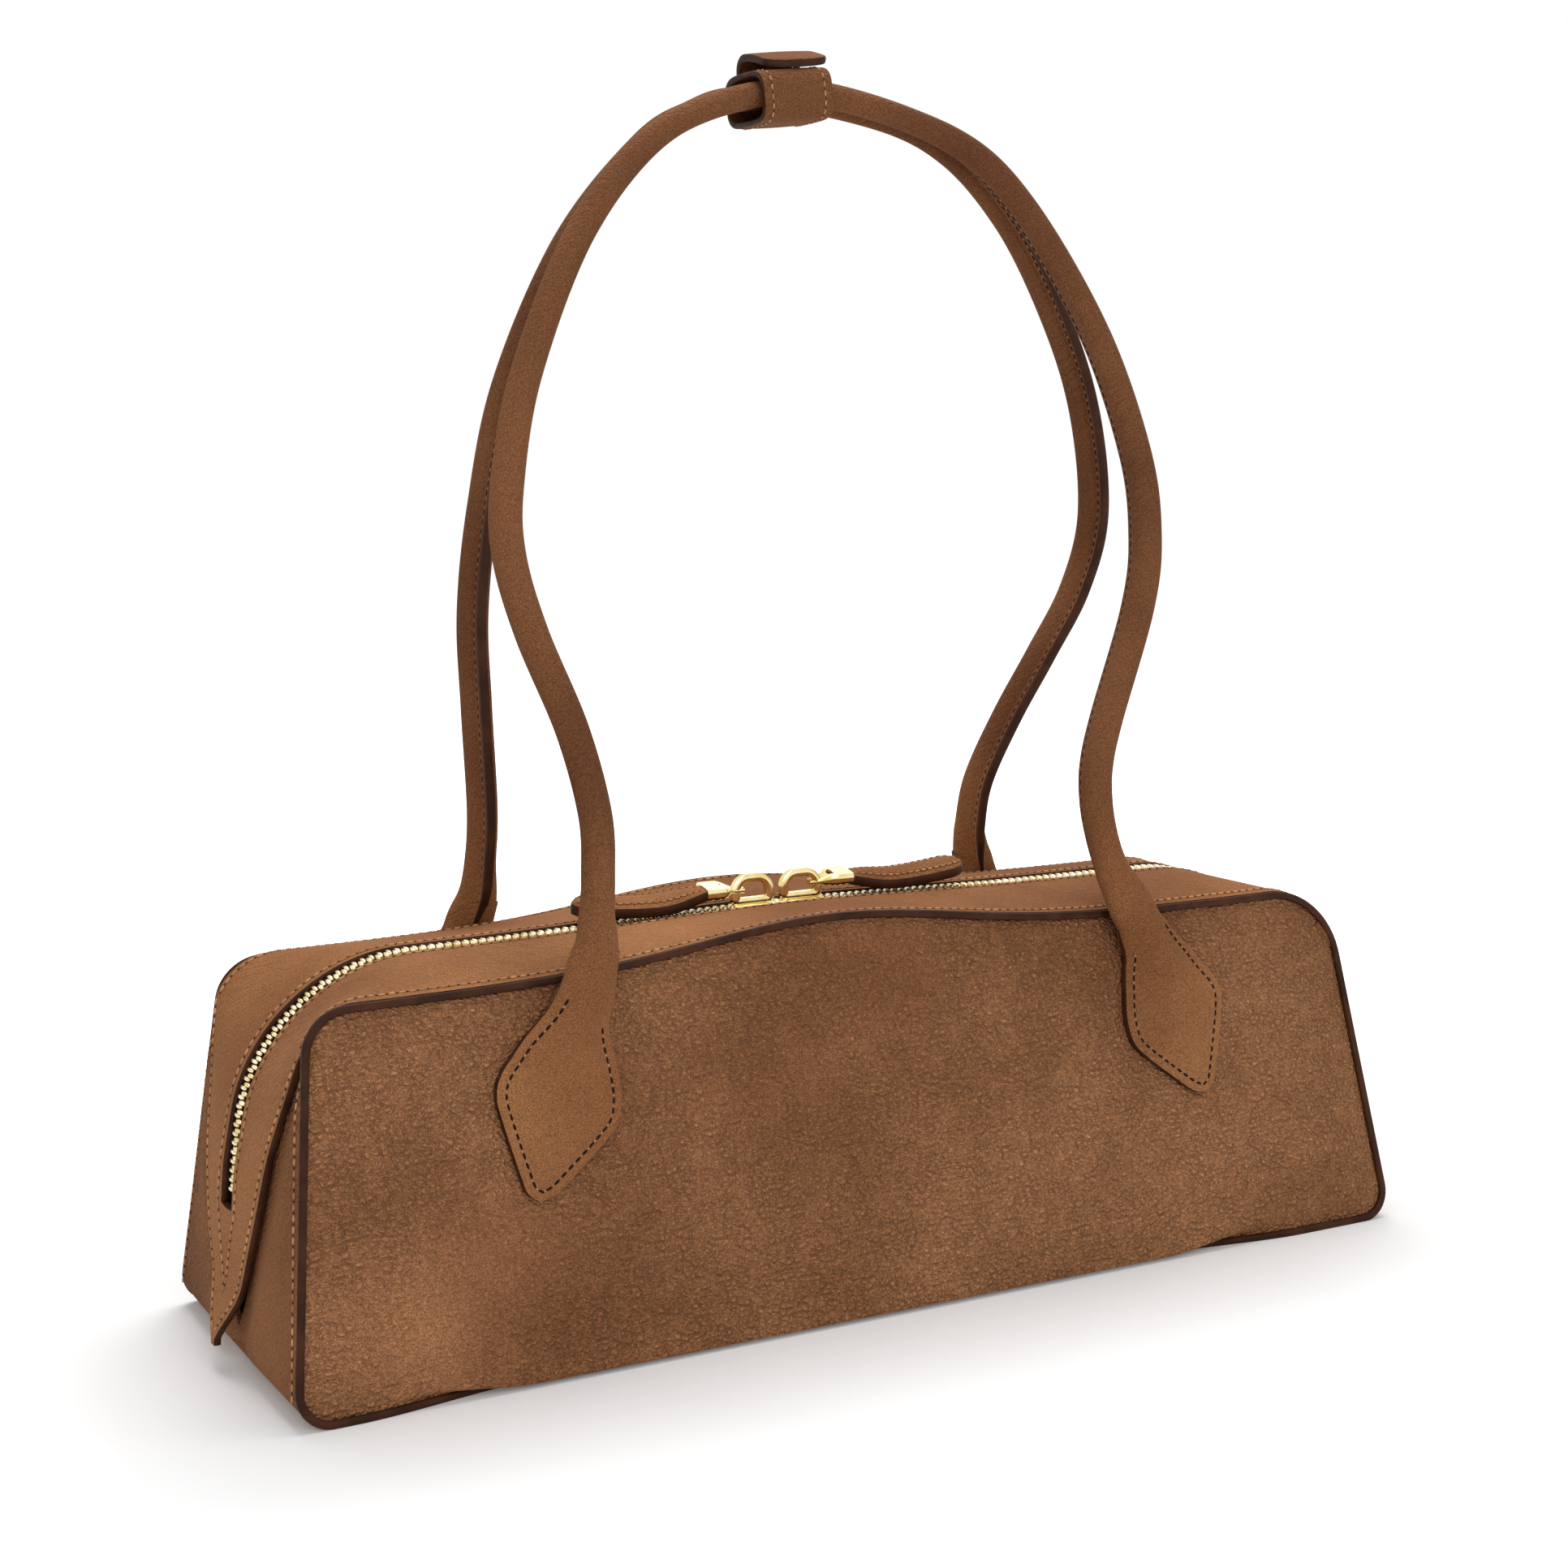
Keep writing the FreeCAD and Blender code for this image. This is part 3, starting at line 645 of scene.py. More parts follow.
@dataclass(frozen=True)
class WornFinish(Finish):
    """Smooth finish with slow tone and fine scuffs, for edge paint, thread, board, cord and metal."""

    wear: Tree
    dark: Colour
    light: Colour
    roughness: Pair
    metallic: float = 0.0
    depth: float = 0.00005
    specular: float = 0.3
    bump: float = 0.5

    def material(self) -> Material:
        """Make the material.

        Returns:
            The material.
        """
        board, shader, material = self.start()
        wear = board.add("ShaderNodeGroup", node_tree=self.wear)
        tone = board.remap(wear.outputs["Tone"], 0.3, 0.7, 0.0, 1.0)
        board.feed(shader, {
            "Base Color": board.blend(tone, self.dark, self.light),
            "Roughness": board.remap(wear.outputs["Scuff"], 0.3, 0.7, *self.roughness),
            "Normal": board.bump(wear.outputs["Scuff"], self.depth, self.bump),
            "Metallic": self.metallic,
            "Specular IOR Level": self.specular,
        })
        return material


@dataclass(frozen=True)
class ClothFinish(Finish):
    """Woven cloth."""

    weave: Tree
    dark: Colour
    light: Colour
    roughness: Pair = (0.95, 0.8)
    depth: float = 0.0002
    bump: float = 0.6

    def material(self) -> Material:
        """Make the material.

        Returns:
            The material.
        """
        board, shader, material = self.start()
        weave = board.add("ShaderNodeGroup", node_tree=self.weave)
        board.feed(shader, {
            "Base Color": board.blend(weave.outputs["Thread"], self.dark, self.light),
            "Roughness": board.remap(weave.outputs["Thread"], 0.0, 1.0, *self.roughness),
            "Normal": board.bump(weave.outputs["Height"], self.depth, self.bump),
        })
        return material


class Palette:
    """The bag's materials, made once."""

    def __init__(self) -> None:
        """Make the shared groups and each finish's material."""
        grain = nubuck_grain_group()
        weave = weave_group()
        wear = wear_group()
        # The panels' copy of the nubuck is lighter than the trim's: painted light on the panels.
        panel = (tint(148, 97, 64), tint(190, 134, 92))
        self.panel = NubuckFinish(
            "Panel nubuck", grain, *panel, smoothness=0.36, crease_share=0.62, depth=0.0009
        ).material()
        # The gussets' copy of the nubuck is darker than the panels': painted shade on the bag's ends.
        gusset = (tint(112, 70, 44), tint(152, 102, 66))
        self.gusset = NubuckFinish(
            "Gusset nubuck", grain, *gusset, smoothness=0.55, crease_share=0.4, depth=0.0006
        ).material()
        trim = (tint(130, 83, 51), tint(172, 119, 77))
        self.trim = NubuckFinish(
            "Trim nubuck", grain, *trim, smoothness=0.62, crease_share=0.25, depth=0.0004
        ).material()
        # The rolls' copy of the nubuck is darker than the trim's: partly the leather's own tone and partly
        # painted shade on the handles. Below 104 to 150 mm they take the trim's tones.
        roll = (tint(104, 65, 41), tint(138, 91, 59))
        self.roll = NubuckFinish(
            "Rolled nubuck", grain, *roll, smoothness=0.64, crease_share=0.2, depth=0.0004, foot=trim
        ).material()

        def worn(name: str, dark: Tint, light: Tint, roughness: Pair, **more: float) -> Material:
            """Material of a smooth finish, from the screen values of its two tones."""
            return WornFinish(name, wear, tint(*dark), tint(*light), roughness, **more).material()

        self.paint = worn("Edge paint", (50, 27, 15), (73, 42, 25), (0.45, 0.6), specular=0.12)
        self.tan_thread = worn("Tan thread", (158, 110, 72), (206, 158, 112), (0.6, 0.8), specular=0.2)
        # Dark beads set in the gaps of tan rows: painted shade of the stitch holes.
        self.hole = worn("Stitch hole", (62, 38, 25), (84, 54, 36), (0.7, 0.9), specular=0.1)
        self.dark_thread = worn("Dark thread", (20, 11, 8), (38, 22, 15), (0.6, 0.8), specular=0.1)
        self.gold = worn(
            "Pale gold", (232, 208, 138), (250, 236, 188), (0.12, 0.22),
            metallic=1.0, depth=2e-5, specular=0.5,
        )
        self.teeth = worn("Zip teeth gold", (214, 190, 134), (250, 238, 204), (0.22, 0.36), metallic=1.0)
        self.board = worn("Stiffening board", (44, 40, 37), (60, 55, 50), (0.7, 0.9))
        self.cord = worn("Filler cord", (190, 180, 158), (220, 210, 190), (0.8, 0.95))
        self.tape = ClothFinish("Zip tape", weave, tint(34, 22, 16), tint(62, 42, 30)).material()
        self.lining = ClothFinish("Cotton lining", weave, tint(86, 62, 45), tint(120, 92, 70)).material()
        # Tan rows: tan thread, with dark beads of painted hole shade in the gaps.
        self.tan_row = (self.tan_thread, self.hole)
        self.dark_row = (self.dark_thread, self.tan_thread)
        self.edged_trim = (self.trim, self.paint)
        self.edged_roll = (self.roll, self.paint)


# How pieces move


@dataclass(frozen=True)
class Seat:
    """How a piece moves: with one body; a piece with a second body is baked in place, and its range of
    heights is not used.
    """

    body: str
    to: str | None = None
    start: float = 0.0
    end: float = 0.0

    def hold(self, piece: Piece, slot: str, *nodes: str) -> Piece:
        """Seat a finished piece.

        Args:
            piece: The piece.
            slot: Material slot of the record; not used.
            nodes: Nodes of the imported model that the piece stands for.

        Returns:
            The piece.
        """
        if self.to is None:
            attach(piece, self.body)
        else:
            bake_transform(piece)
        if nodes:
            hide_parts(*nodes)
        LOG.info("%s: %d faces", piece.name, len(piece.data.polygons))
        return piece


BAG_SEAT = Seat("bag")
WALL_SEAT = {Side.FRONT: Seat("bag", "front_side", 42.0, 90.0), Side.BACK: BAG_SEAT}
HANDLE_SEAT = {
    Side.FRONT: Seat("front_side", "front_handle", 101.0, 121.0),
    Side.BACK: Seat("bag", "back_handle", 101.0, 121.0),
}


# Repeated small pieces

# Distance to either side of a place over which a run's direction is taken.
LOOK_AHEAD = 0.4


@dataclass
class Run:
    """Places in a row on a surface, with the row's direction and the surface's."""

    points: Array
    along: Array
    up: Array

    @staticmethod
    def spaced(path: Array, up: Array, pitch: float, first: float = 0.5) -> "Run":
        """Space places evenly on a path.

        Args:
            path: Points of the path.
            up: Direction out of the surface at each point.
            pitch: Distance from one place to the next.
            first: Share of a pitch before the first place.

        Returns:
            The run of places.
        """
        along = arc_lengths(path)
        places = np.arange(first * pitch, along[-1], pitch)
        points = at_lengths(path, places)
        ahead = at_lengths(path, np.minimum(places + LOOK_AHEAD, along[-1]))
        behind = at_lengths(path, np.maximum(places - LOOK_AHEAD, 0.0))
        ups = np.stack([np.interp(places, along, column) for column in np.asarray(up).T], axis=-1)
        return Run(points, unit(ahead - behind), unit(ups))


class Repeater:
    """Geometry node tree that sets a small shape on every place of a run."""

    def __init__(self, name: str, sizes: dict[str, float]) -> None:
        """Start the tree.

        Args:
            name: Name of the tree.
            sizes: Names and values of its size inputs, in metres.
        """
        self.sizes = sizes
        self.tree = bpy.data.node_groups.new(name, "GeometryNodeTree")
        sockets = self.tree.interface
        kinds = {"Geometry": "Geometry", **dict.fromkeys(sizes, "Float"), "Finish": "Material"}
        for label, kind in kinds.items():
            sockets.new_socket(label, in_out="INPUT", socket_type="NodeSocket" + kind)
        sockets.new_socket("Geometry", in_out="OUTPUT", socket_type="NodeSocketGeometry")
        self.board = NodeBoard(self.tree)
        self.given = self.board.add("NodeGroupInput")

    def block(self, extents: Sequence[object], place: Sequence[object]) -> Socket:
        """Softened block.

        Args:
            extents: Lengths along, across and up.
            place: Centre of the block.

        Returns:
            Its geometry socket.
        """
        cube = self.board.out("GeometryNodeMeshCube", {"Size": self.board.joined(extents)})
        softening = {"Mesh": cube, "Level": 1, "Edge Crease": 0.62}
        soft = self.board.out("GeometryNodeSubdivisionSurface", softening)
        moving = {"Geometry": soft, "Translation": self.board.joined(place)}
        return self.board.out("GeometryNodeTransform", moving)

    def bead(self, extents: Sequence[object]) -> Socket:
        """Flattened bead, as a stitch of thread shows.

        Args:
            extents: Lengths along, across and up.

        Returns:
            Its geometry socket.
        """
        ball = self.board.out("GeometryNodeMeshUVSphere", {"Segments": 6, "Rings": 4, "Radius": 0.5})
        scaling = {"Geometry": ball, "Scale": self.board.joined(extents)}
        return self.board.out("GeometryNodeTransform", scaling)

    def close(self, shape: Socket) -> None:
        """End the tree: place the shape, make it real and give it its finish.

        Args:
            shape: Geometry socket of the shape.
        """
        axes = {}
        kind = "GeometryNodeInputNamedAttribute"
        for label in ("along", "up"):
            node = self.board.add(kind, {"Name": label}, data_type="FLOAT_VECTOR")
            axes[label] = node.outputs["Attribute"]
        turning = {"Primary Axis": axes["along"], "Secondary Axis": axes["up"]}
        turn = self.board.out("FunctionNodeAxesToRotation", turning, primary_axis="X", secondary_axis="Z")
        given = self.given.outputs
        placing = {"Points": given["Geometry"], "Instance": shape, "Rotation": turn}
        placed = self.board.out("GeometryNodeInstanceOnPoints", placing)
        real = self.board.out("GeometryNodeRealizeInstances", {"Geometry": placed})
        smooth = self.board.out("GeometryNodeSetShadeSmooth", {"Geometry": real})
        dressing = {"Geometry": smooth, "Material": given["Finish"]}
        finished = self.board.out("GeometryNodeSetMaterial", dressing)
        self.board.add("NodeGroupOutput", {"Geometry": finished})

    def place(self, name: str, runs: Sequence[Run], finish: Material) -> Piece:
        """Set the shape on runs as one plain mesh.

        Args:
            name: Name of the piece.
            runs: Runs of places.
            finish: Material of the shapes.

        Returns:
            The new object.
        """
        points = np.vstack([run.points for run in runs]) * MM
        mesh = bpy.data.meshes.new(name)
        mesh.from_pydata(points.tolist(), [], [])
        for label in ("along", "up"):
            values = np.vstack([getattr(run, label) for run in runs])
            layer = mesh.attributes.new(label, "FLOAT_VECTOR", "POINT")
            layer.data.foreach_set("vector", values.astype(np.float32).ravel())
        piece = bpy.data.objects.new(name, mesh)
        bpy.context.scene.collection.objects.link(piece)
        modifier = piece.modifiers.new(self.tree.name, "NODES")
        modifier.node_group = self.tree
        for socket in self.tree.interface.items_tree:
            if socket.in_out == "INPUT" and socket.name in self.sizes:
                modifier[socket.identifier] = self.sizes[socket.name]
            elif socket.name == "Finish":
                modifier[socket.identifier] = finish
        evaluated = piece.evaluated_get(bpy.context.evaluated_depsgraph_get())
        piece.data = bpy.data.meshes.new_from_object(evaluated)
        piece.data.name = name
        piece.modifiers.clear()
        bpy.data.meshes.remove(mesh)
        return piece


# A gap's bead as a share of the thread's width, and a bead's height as a share of its own width.
GAP_SHARE = 0.7
BEAD_HEIGHT = 0.75


class Needle:
    """Sews rows: a bead of thread for each stitch, and a smaller bead in each gap."""

    def __init__(self, name: str, length: float, width: float) -> None:
        """Make the two trees.

        Args:
            name: Name of the kind of stitch.
            length: Length of a stitch in millimetres.
            width: Width of its thread.
        """
        self.trees = []
        gap = width * GAP_SHARE
        for label, long, wide in ((name, length, width), (name + " gaps", gap, gap)):
            sizes = {"Length": long * MM, "Width": wide * MM, "Height": wide * BEAD_HEIGHT * MM}
            tree = Repeater(label, sizes)
            given = tree.given.outputs
            tree.close(tree.bead((given["Length"], given["Width"], given["Height"])))
            self.trees.append(tree)

    def sew(
        self, name: str, rows: Sequence[Arrays], pitch: float, finishes: Finishes, seat: Seat, slot: str
    ) -> None:
        """Sew rows as two plain meshes.

        Args:
            name: Name of the sewn pieces.
            rows: Path of each row and the directions out of its surface.
            pitch: Distance from one stitch to the next.
            finishes: Finish of the stitches and of the gaps.
            seat: What the stitches move with.
            slot: Material slot of the record.
        """
        kinds = zip(self.trees, finishes, (0.5, 1.0), ("_stitches", "_stitch_gaps"))
        for tree, finish, first, label in kinds:
            runs = [Run.spaced(path, up, pitch, first) for path, up in rows]
            seat.hold(tree.place(name + label, runs, finish), slot)


# A tooth's length along the zip as a share of the pitch, its other lengths, and its step off the middle.
TOOTH_BAR = 0.46
TOOTH_REACH = 3.4
TOOTH_HEIGHT = 2.0
TOOTH_STEP = 0.9


def tooth_tree(pitch: float) -> Repeater:
    """Tree for a row of zip teeth, each a softened bar that reaches across the middle.

    Args:
        pitch: Distance between teeth on one tape, in millimetres.

    Returns:
        The finished tree.
    """
    sizes = {"Bar": pitch * TOOTH_BAR * MM, "Reach": TOOTH_REACH * MM, "Height": TOOTH_HEIGHT * MM}
    tree = Repeater("Zip teeth", sizes)
    given = tree.given.outputs
    extents = (given["Bar"], given["Reach"], given["Height"])
    tree.close(tree.block(extents, (0.0, -TOOTH_STEP * MM, 0.0)))
    return tree


# The bag's form

FLOOR_STEPS = 44
FOOT_STEPS = 10
END_STEPS = 60
CORNER_STEPS = 26
TOP_STEPS = 170


@dataclass(frozen=True)
class Outline:
    """Closed outline in XZ: floor, ends that lean in, rounded corners and a crowned top."""

    half_base: float
    lean: float
    top: float
    left_radius: float
    right_radius: float
    foot_radius: float
    crown: float
    crown_x: float
    crown_width: float
    swell: float

    def points(self) -> Array:
        """Work the outline out.

        Returns:
            Points (x, z) from the middle of the floor to the right, up and round.
        """
        half, top = self.half_base, self.top
        reach = half - self.lean * top
        corners = [(0.0, 0.0), (half, 0.0), (reach, top), (-reach, top), (-half, 0.0), (0.0, 0.0)]
        corners = np.array(corners)
        radii = (self.foot_radius, self.right_radius, self.left_radius, self.foot_radius)
        arc_steps = (FOOT_STEPS, CORNER_STEPS, CORNER_STEPS, FOOT_STEPS)
        run_steps = (FLOOR_STEPS, END_STEPS, TOP_STEPS, END_STEPS, FLOOR_STEPS)
        pieces = []
        start = corners[0]
        for index, radius in enumerate(radii):
            before, corner, after = corners[index:index + 3]
            way_in = unit(corner - before)
            way_out = unit(after - corner)
            turn = math.acos(float(way_in @ way_out))
            entry = corner - way_in * radius * math.tan(turn / 2)
            inward = np.array([-way_in[1], way_in[0]])
            angles = np.linspace(0.0, turn, arc_steps[index], endpoint=False)[:, None]
            arc = entry + radius * (np.sin(angles) * way_in + (1 - np.cos(angles)) * inward)
            pieces.append(np.linspace(start, entry, run_steps[index], endpoint=False))
            pieces.append(arc)
            start = corner + way_out * radius * math.tan(turn / 2)
        pieces.append(np.linspace(start, corners[-1], run_steps[-1], endpoint=False))
        x, z = np.vstack(pieces).T
        share = np.clip(z / top, 0.0, 1.0)
        z = z + self.crown * np.exp(-((x - self.crown_x) / self.crown_width) ** 2) * share ** 3
        x = x * (1 + self.swell / half * np.sin(math.pi * share))
        return np.stack([x, z], axis=1)


@dataclass
class BagForm:
    """The bag's double-curved surround, between its seam lines and its middle line."""

    half_base: float
    half_depth: float
    depth_slope: float
    tuck: float = 6.0
    tuck_middle: float = -9.5
    tuck_start: float = 96.0
    tuck_end: float = 146.0
    tuck_height: float = 7.0
    end_lean: float = 0.117
    foot_radius: float = 9.0
    seam_line: Array = field(init=False)
    middle_line: Array = field(init=False)

    def __post_init__(self) -> None:
        """Work out the two outlines' points."""
        common = {"half_base": self.half_base, "lean": self.end_lean, "foot_radius": self.foot_radius}
        seam = Outline(
            top=99.9, left_radius=13.0, right_radius=23.0, crown=8.6, crown_x=-10.0, crown_width=55.0,
            swell=0.0, **common,
        )
        middle = Outline(
            top=104.6, left_radius=45.0, right_radius=45.0, crown=2.0, crown_x=-8.0, crown_width=60.0,
            swell=4.0, **common,
        )
        self.seam_line = seam.points()
        self.middle_line = middle.points()
        self.count = len(self.seam_line)

    @staticmethod
    def sample(line: Array, at: Array) -> Arrays:
        """Read an outline at fractional places on it.

        Args:
            line: The outline's points.
            at: The places.

        Returns:
            X and Z at each place.
        """
        count = len(line)
        places = np.arange(count + 1)
        ring = np.vstack([line, line[:1]])
        wrapped = np.mod(at, count)
        return np.interp(wrapped, places, ring[:, 0]), np.interp(wrapped, places, ring[:, 1])

    def tucked(self, x: Array) -> Array:
        """Share by which the lower seams are tucked under the panels."""
        away = np.abs(np.asarray(x) - self.tuck_middle)
        return 1.0 - ramp(self.tuck_start, self.tuck_end, away)

    def plain(self, at: Array, across: Array) -> Array:
        """Points of the surround, before any lift.

        Args:
            at: Place round the outline.
            across: Share of the half depth, from -1 at the front seam to 1 at the back one.

        Returns:
            The points.
        """
        middle_x, middle_z = self.sample(self.middle_line, at)
        seam_x, seam_z = self.sample(self.seam_line, at)
        crown = across ** 2
        x = middle_x + (seam_x - middle_x) * crown
        z = middle_z + (seam_z - middle_z) * crown
        under = self.tuck * self.tucked(x) * (1.0 - ramp(0.0, self.tuck_height, z))
        y = across * (self.half_depth - self.depth_slope * z - under)
        return np.stack([x, y, z], axis=-1)

    def normal(self, at: Array, across: Array) -> Array:
        """Outward direction of the surround."""
        round_way = self.plain(at + 0.6, across) - self.plain(at - 0.6, across)
        cross_way = self.plain(at, across + 0.02) - self.plain(at, across - 0.02)
        return unit(np.cross(cross_way, round_way))

    def on(self, at: Array, across: Array, lift: Array | float = 0.0) -> Array:
        """Points of the surround at places round it and shares across it, lifted out by a distance."""
        at, across, lift = np.broadcast_arrays(np.asarray(at, float), np.asarray(across, float), lift)
        return self.plain(at, across) + lift[..., None] * self.normal(at, across)

    def at_height(self, line: Array, height: float, hand: Hand) -> float:
        """Place on an end of an outline at a height."""
        half = self.count // 2
        places = np.arange(half) if hand is Hand.RIGHT else np.arange(self.count - 1, half, -1)
        return float(np.interp(height, line[places, 1], places))

    def share(self, distance: float, at: Array) -> Array:
        """Share of the half depth that a distance across makes up."""
        _, seam_z = self.sample(self.seam_line, at)
        return distance / (self.half_depth - self.depth_slope * seam_z)

    @property
    def lean(self) -> float:
        """Lean of the long sides."""
        return math.atan(self.depth_slope)

    def side_out(self, side: Side) -> Array:
        """Direction out of a long side."""
        return np.array([0.0, side.value * math.cos(self.lean), math.sin(self.lean)])

    def on_side(self, side: Side, x: Array, z: Array, out: Array) -> Array:
        """Points over places and heights of a side's seam plane, at distances out of it."""
        y = side.value * (self.half_depth - self.depth_slope * z)
        return np.stack([x, y, z], axis=-1) + out[..., None] * self.side_out(side)


# Sub-assemblies


@dataclass
class Walls:
    """Base strip, panels, gussets, linings and painted seam edges."""

    form: BagForm
    palette: Palette
    leather: float = 1.8
    valley: float = 1.3
    crest: float = 1.6
    lip_width: float = 2.0
    paint_wrap: float = 1.3
    paint: float = 0.1
    edge_back: float = 0.8
    pillow_run: float = 9.0
    tuck_run: float = 3.2
    tuck_dip: float = 7.4
    tuck_dip_run: float = 8.0
    seam_height: float = 3.2
    lining_gap: float = 0.4
    lining_back: float = 1.2
    edge_squareness: float = 0.6
    slow_wave: Pair = (31.0, 24.0)
    quick_wave: Pair = (17.0, 21.0)
    phases: tuple[float, float, float] = (0.6, -0.4, 1.3)
    slow_height: float = 0.7
    quick_height: float = 0.5
    low_run: Pair = (6.0, 26.0)
    under_run: Pair = (3.0, 9.0)
    soft_run: float = 30.0
    columns: int = 190
    rows: int = 70

    def __post_init__(self) -> None:
        """Work out the panel's boundary."""
        line = self.form.seam_line
        ahead = np.roll(line, -1, axis=0) - np.roll(line, 1, axis=0)
        self.inward = unit(np.stack([-ahead[:, 1], ahead[:, 0]], axis=1))
        self.boundary = line + self.inward * self.lip_width

    def ripple(self, x: Array, z: Array) -> Array:
        """Work out the soft unevenness of a hand-made panel.

        Args:
            x: Places along the bag.
            z: Heights on the seam plane.

        Returns:
            Heights out of the panel.
        """
        (slow_x, slow_z), (quick_x, quick_z) = self.slow_wave, self.quick_wave
        slow = np.sin(x / slow_x + self.phases[0]) * np.cos(z / slow_z + self.phases[1])
        quick = np.sin(x / quick_x - z / quick_z + self.phases[2]) * 0.5
        return self.slow_height * slow + self.quick_height * quick

    def depth(self, x: Array, z: Array) -> Array:
        """Work out how far the panel's face lies out of the seam plane.

        Args:
            x: Places along the bag.
            z: Heights on the seam plane.

        Returns:
            The distances.
        """
        shape = np.shape(x)
        spots = np.stack([np.ravel(x), np.ravel(z)], axis=1)
        edge = edge_distance(spots, self.boundary).reshape(shape)
        low = self.form.tucked(x) * (1.0 - ramp(*self.low_run, z))
        run = self.pillow_run + (self.tuck_run - self.pillow_run) * low
        under = self.form.tuck * self.form.tucked(x) * (1.0 - ramp(*self.under_run, z))
        valley = -self.valley - under
        rise = 1.0 - np.exp(-edge / run)
        soft = ramp(0.0, self.soft_run, edge)
        return valley + (self.crest - valley) * rise + self.ripple(x, z) * soft

    def panel_grid(self) -> Arrays:
        """Lay a grid over the panel, closer at its edges.

        Returns:
            X and Z of the grid's places, by column and by row.
        """
        count = self.form.count
        foot = FLOOR_STEPS + FOOT_STEPS // 2
        corner = FLOOR_STEPS + FOOT_STEPS + END_STEPS + CORNER_STEPS // 2

        def stretch(first: int, last: int, shares: Array) -> Array:
            """Points of a stretch of the boundary at shares of its length."""
            path = self.boundary[np.arange(first, last + 1) % count]
            return at_lengths(path, shares * arc_lengths(path)[-1])

        across = np.linspace(0.0, 1.0, self.columns)
        even = np.linspace(0.0, 1.0, self.rows)
        up = 0.45 * even + 0.55 * (1 - np.cos(math.pi * even)) / 2
        across = 0.75 * across + 0.25 * (1 - np.cos(math.pi * across)) / 2
        bottom = stretch(count - foot, count + foot, across)
        top = stretch(corner, count - corner, 1.0 - across)
        right = stretch(foot, corner, up)
        left = stretch(count - corner, count - foot, 1.0 - up)
        u = across[:, None, None]
        w = up[None, :, None]
        ruled = (1 - w) * bottom[:, None] + w * top[:, None] + (1 - u) * left[None] + u * right[None]
        corners = (1 - u) * (1 - w) * bottom[0] + u * (1 - w) * bottom[-1]
        corners = corners + (1 - u) * w * top[0] + u * w * top[-1]
        grid = ruled - corners
        return grid[..., 0], grid[..., 1]

    def panel_points(self, side: Side, inset: float) -> Array:
        """Shape the panel's grid.

        Args:
            side: The long side.
            inset: Distance inwards from the panel's face.

        Returns:
            The grid's points.
        """
        x, z = self.panel_grid()
        out = self.depth(x, z) - inset
        rise = np.maximum(z - self.seam_height, 0.0) / self.tuck_dip_run
        dip = self.tuck_dip * self.form.tucked(x) * rise * np.exp(1.0 - rise)
        points = self.form.on_side(side, x, z, out)
        points[..., 2] = np.maximum(points[..., 2] - dip, 0.5 + 0.5 * inset)
        return points

    def build_panel(self, side: Side) -> None:
        """Panel and lining of a long side.

        Args:
            side: The long side.
        """
        face = self.panel_points(side, 0.0)
        back = self.panel_points(side, self.leather)
        finishes = [self.palette.panel, self.palette.trim]
        piece = shell(side.label + "_panel_leather", face, back, finishes, inner_mark=1)
        WALL_SEAT[side].hold(piece, "body_leather", side.label + "_panel")
        outer = self.panel_points(side, self.leather + self.lining_gap)
        inner = self.panel_points(side, self.leather + self.lining_back)
        lining = shell(side.label + "_lining_cloth", outer, inner, [self.palette.lining], rim_bulge=0.0)
        WALL_SEAT[side].hold(lining, "lining", side.label + "_lining")

    def build_edge(self, side: Side) -> None:
        """Painted edge of a side's turned-out seam, as one closed ring.

        Args:
            side: The long side.
        """
        at = np.arange(self.form.count)
        base = self.form.plain(at, np.full(len(at), float(side.value)))
        out = self.form.side_out(side)
        inward = np.insert(self.inward, 1, 0.0, axis=1)
        inward = unit(inward - (inward @ out)[:, None] * out)
        half = self.lip_width / 2
        turns = np.linspace(0.0, math.pi, 11)
        inwards = half - (half + self.paint) * squared(np.cos(turns), self.edge_squareness)
        outwards = self.paint_wrap * (np.sin(turns) ** self.edge_squareness - 1.0)
        rings = base[:, None] + inwards[None, :, None] * inward[:, None] + outwards[None, :, None] * out
        rings[..., 2] = np.maximum(rings[..., 2], 0.0)
        piece = loft(side.label + "_seam_edge", rings, [self.palette.paint], closed=True)
        WALL_SEAT[side].hold(piece, "body_leather")

    def build_base(self) -> None:
        """Base strip between the two lower seams, and the board and lining on it."""
        form = self.form
        right = form.at_height(form.seam_line, self.seam_height, Hand.RIGHT)
        left = form.at_height(form.seam_line, self.seam_height, Hand.LEFT) - form.count
        at = np.linspace(left, right, 170)[:, None]
        reach = 1.0 - form.share(self.edge_back, at)
        across = np.linspace(-1.0, 1.0, 40)[None] * reach
        outer = form.on(at, across)
        outer[..., 2] = np.maximum(outer[..., 2], 0.0)
        piece = shell("base_strip_leather", outer, form.on(at, across, -self.leather), [self.palette.trim])
        BAG_SEAT.hold(piece, "body_leather", "base_panel")
        low, high = box_of("base_lining")
        x = np.linspace(low[0], high[0], 60)[:, None]
        y = np.linspace(low[1], high[1], 20)[None]
        sag = 0.25 * np.sin(x / 19.0) * np.cos(y / 13.0) - 0.25
        top = np.stack(np.broadcast_arrays(x, y, high[2] + sag), axis=-1)
        bottom = np.stack(np.broadcast_arrays(x, y, low[2]), axis=-1)
        lining = shell("base_lining_cloth", top, bottom, [self.palette.lining], rim_bulge=0.0)
        BAG_SEAT.hold(lining, "lining", "base_lining")
        dress_node("base_board", self.palette.board)


# Edge of a tongue: share of its length from the tip, and share of the half depth.
TONGUE_EDGE = [
    (0.0, 0.0), (0.19, 0.188), (0.33, 0.303), (0.57, 0.476), (0.81, 0.646), (0.93, 0.83), (1.0, 1.0),
]


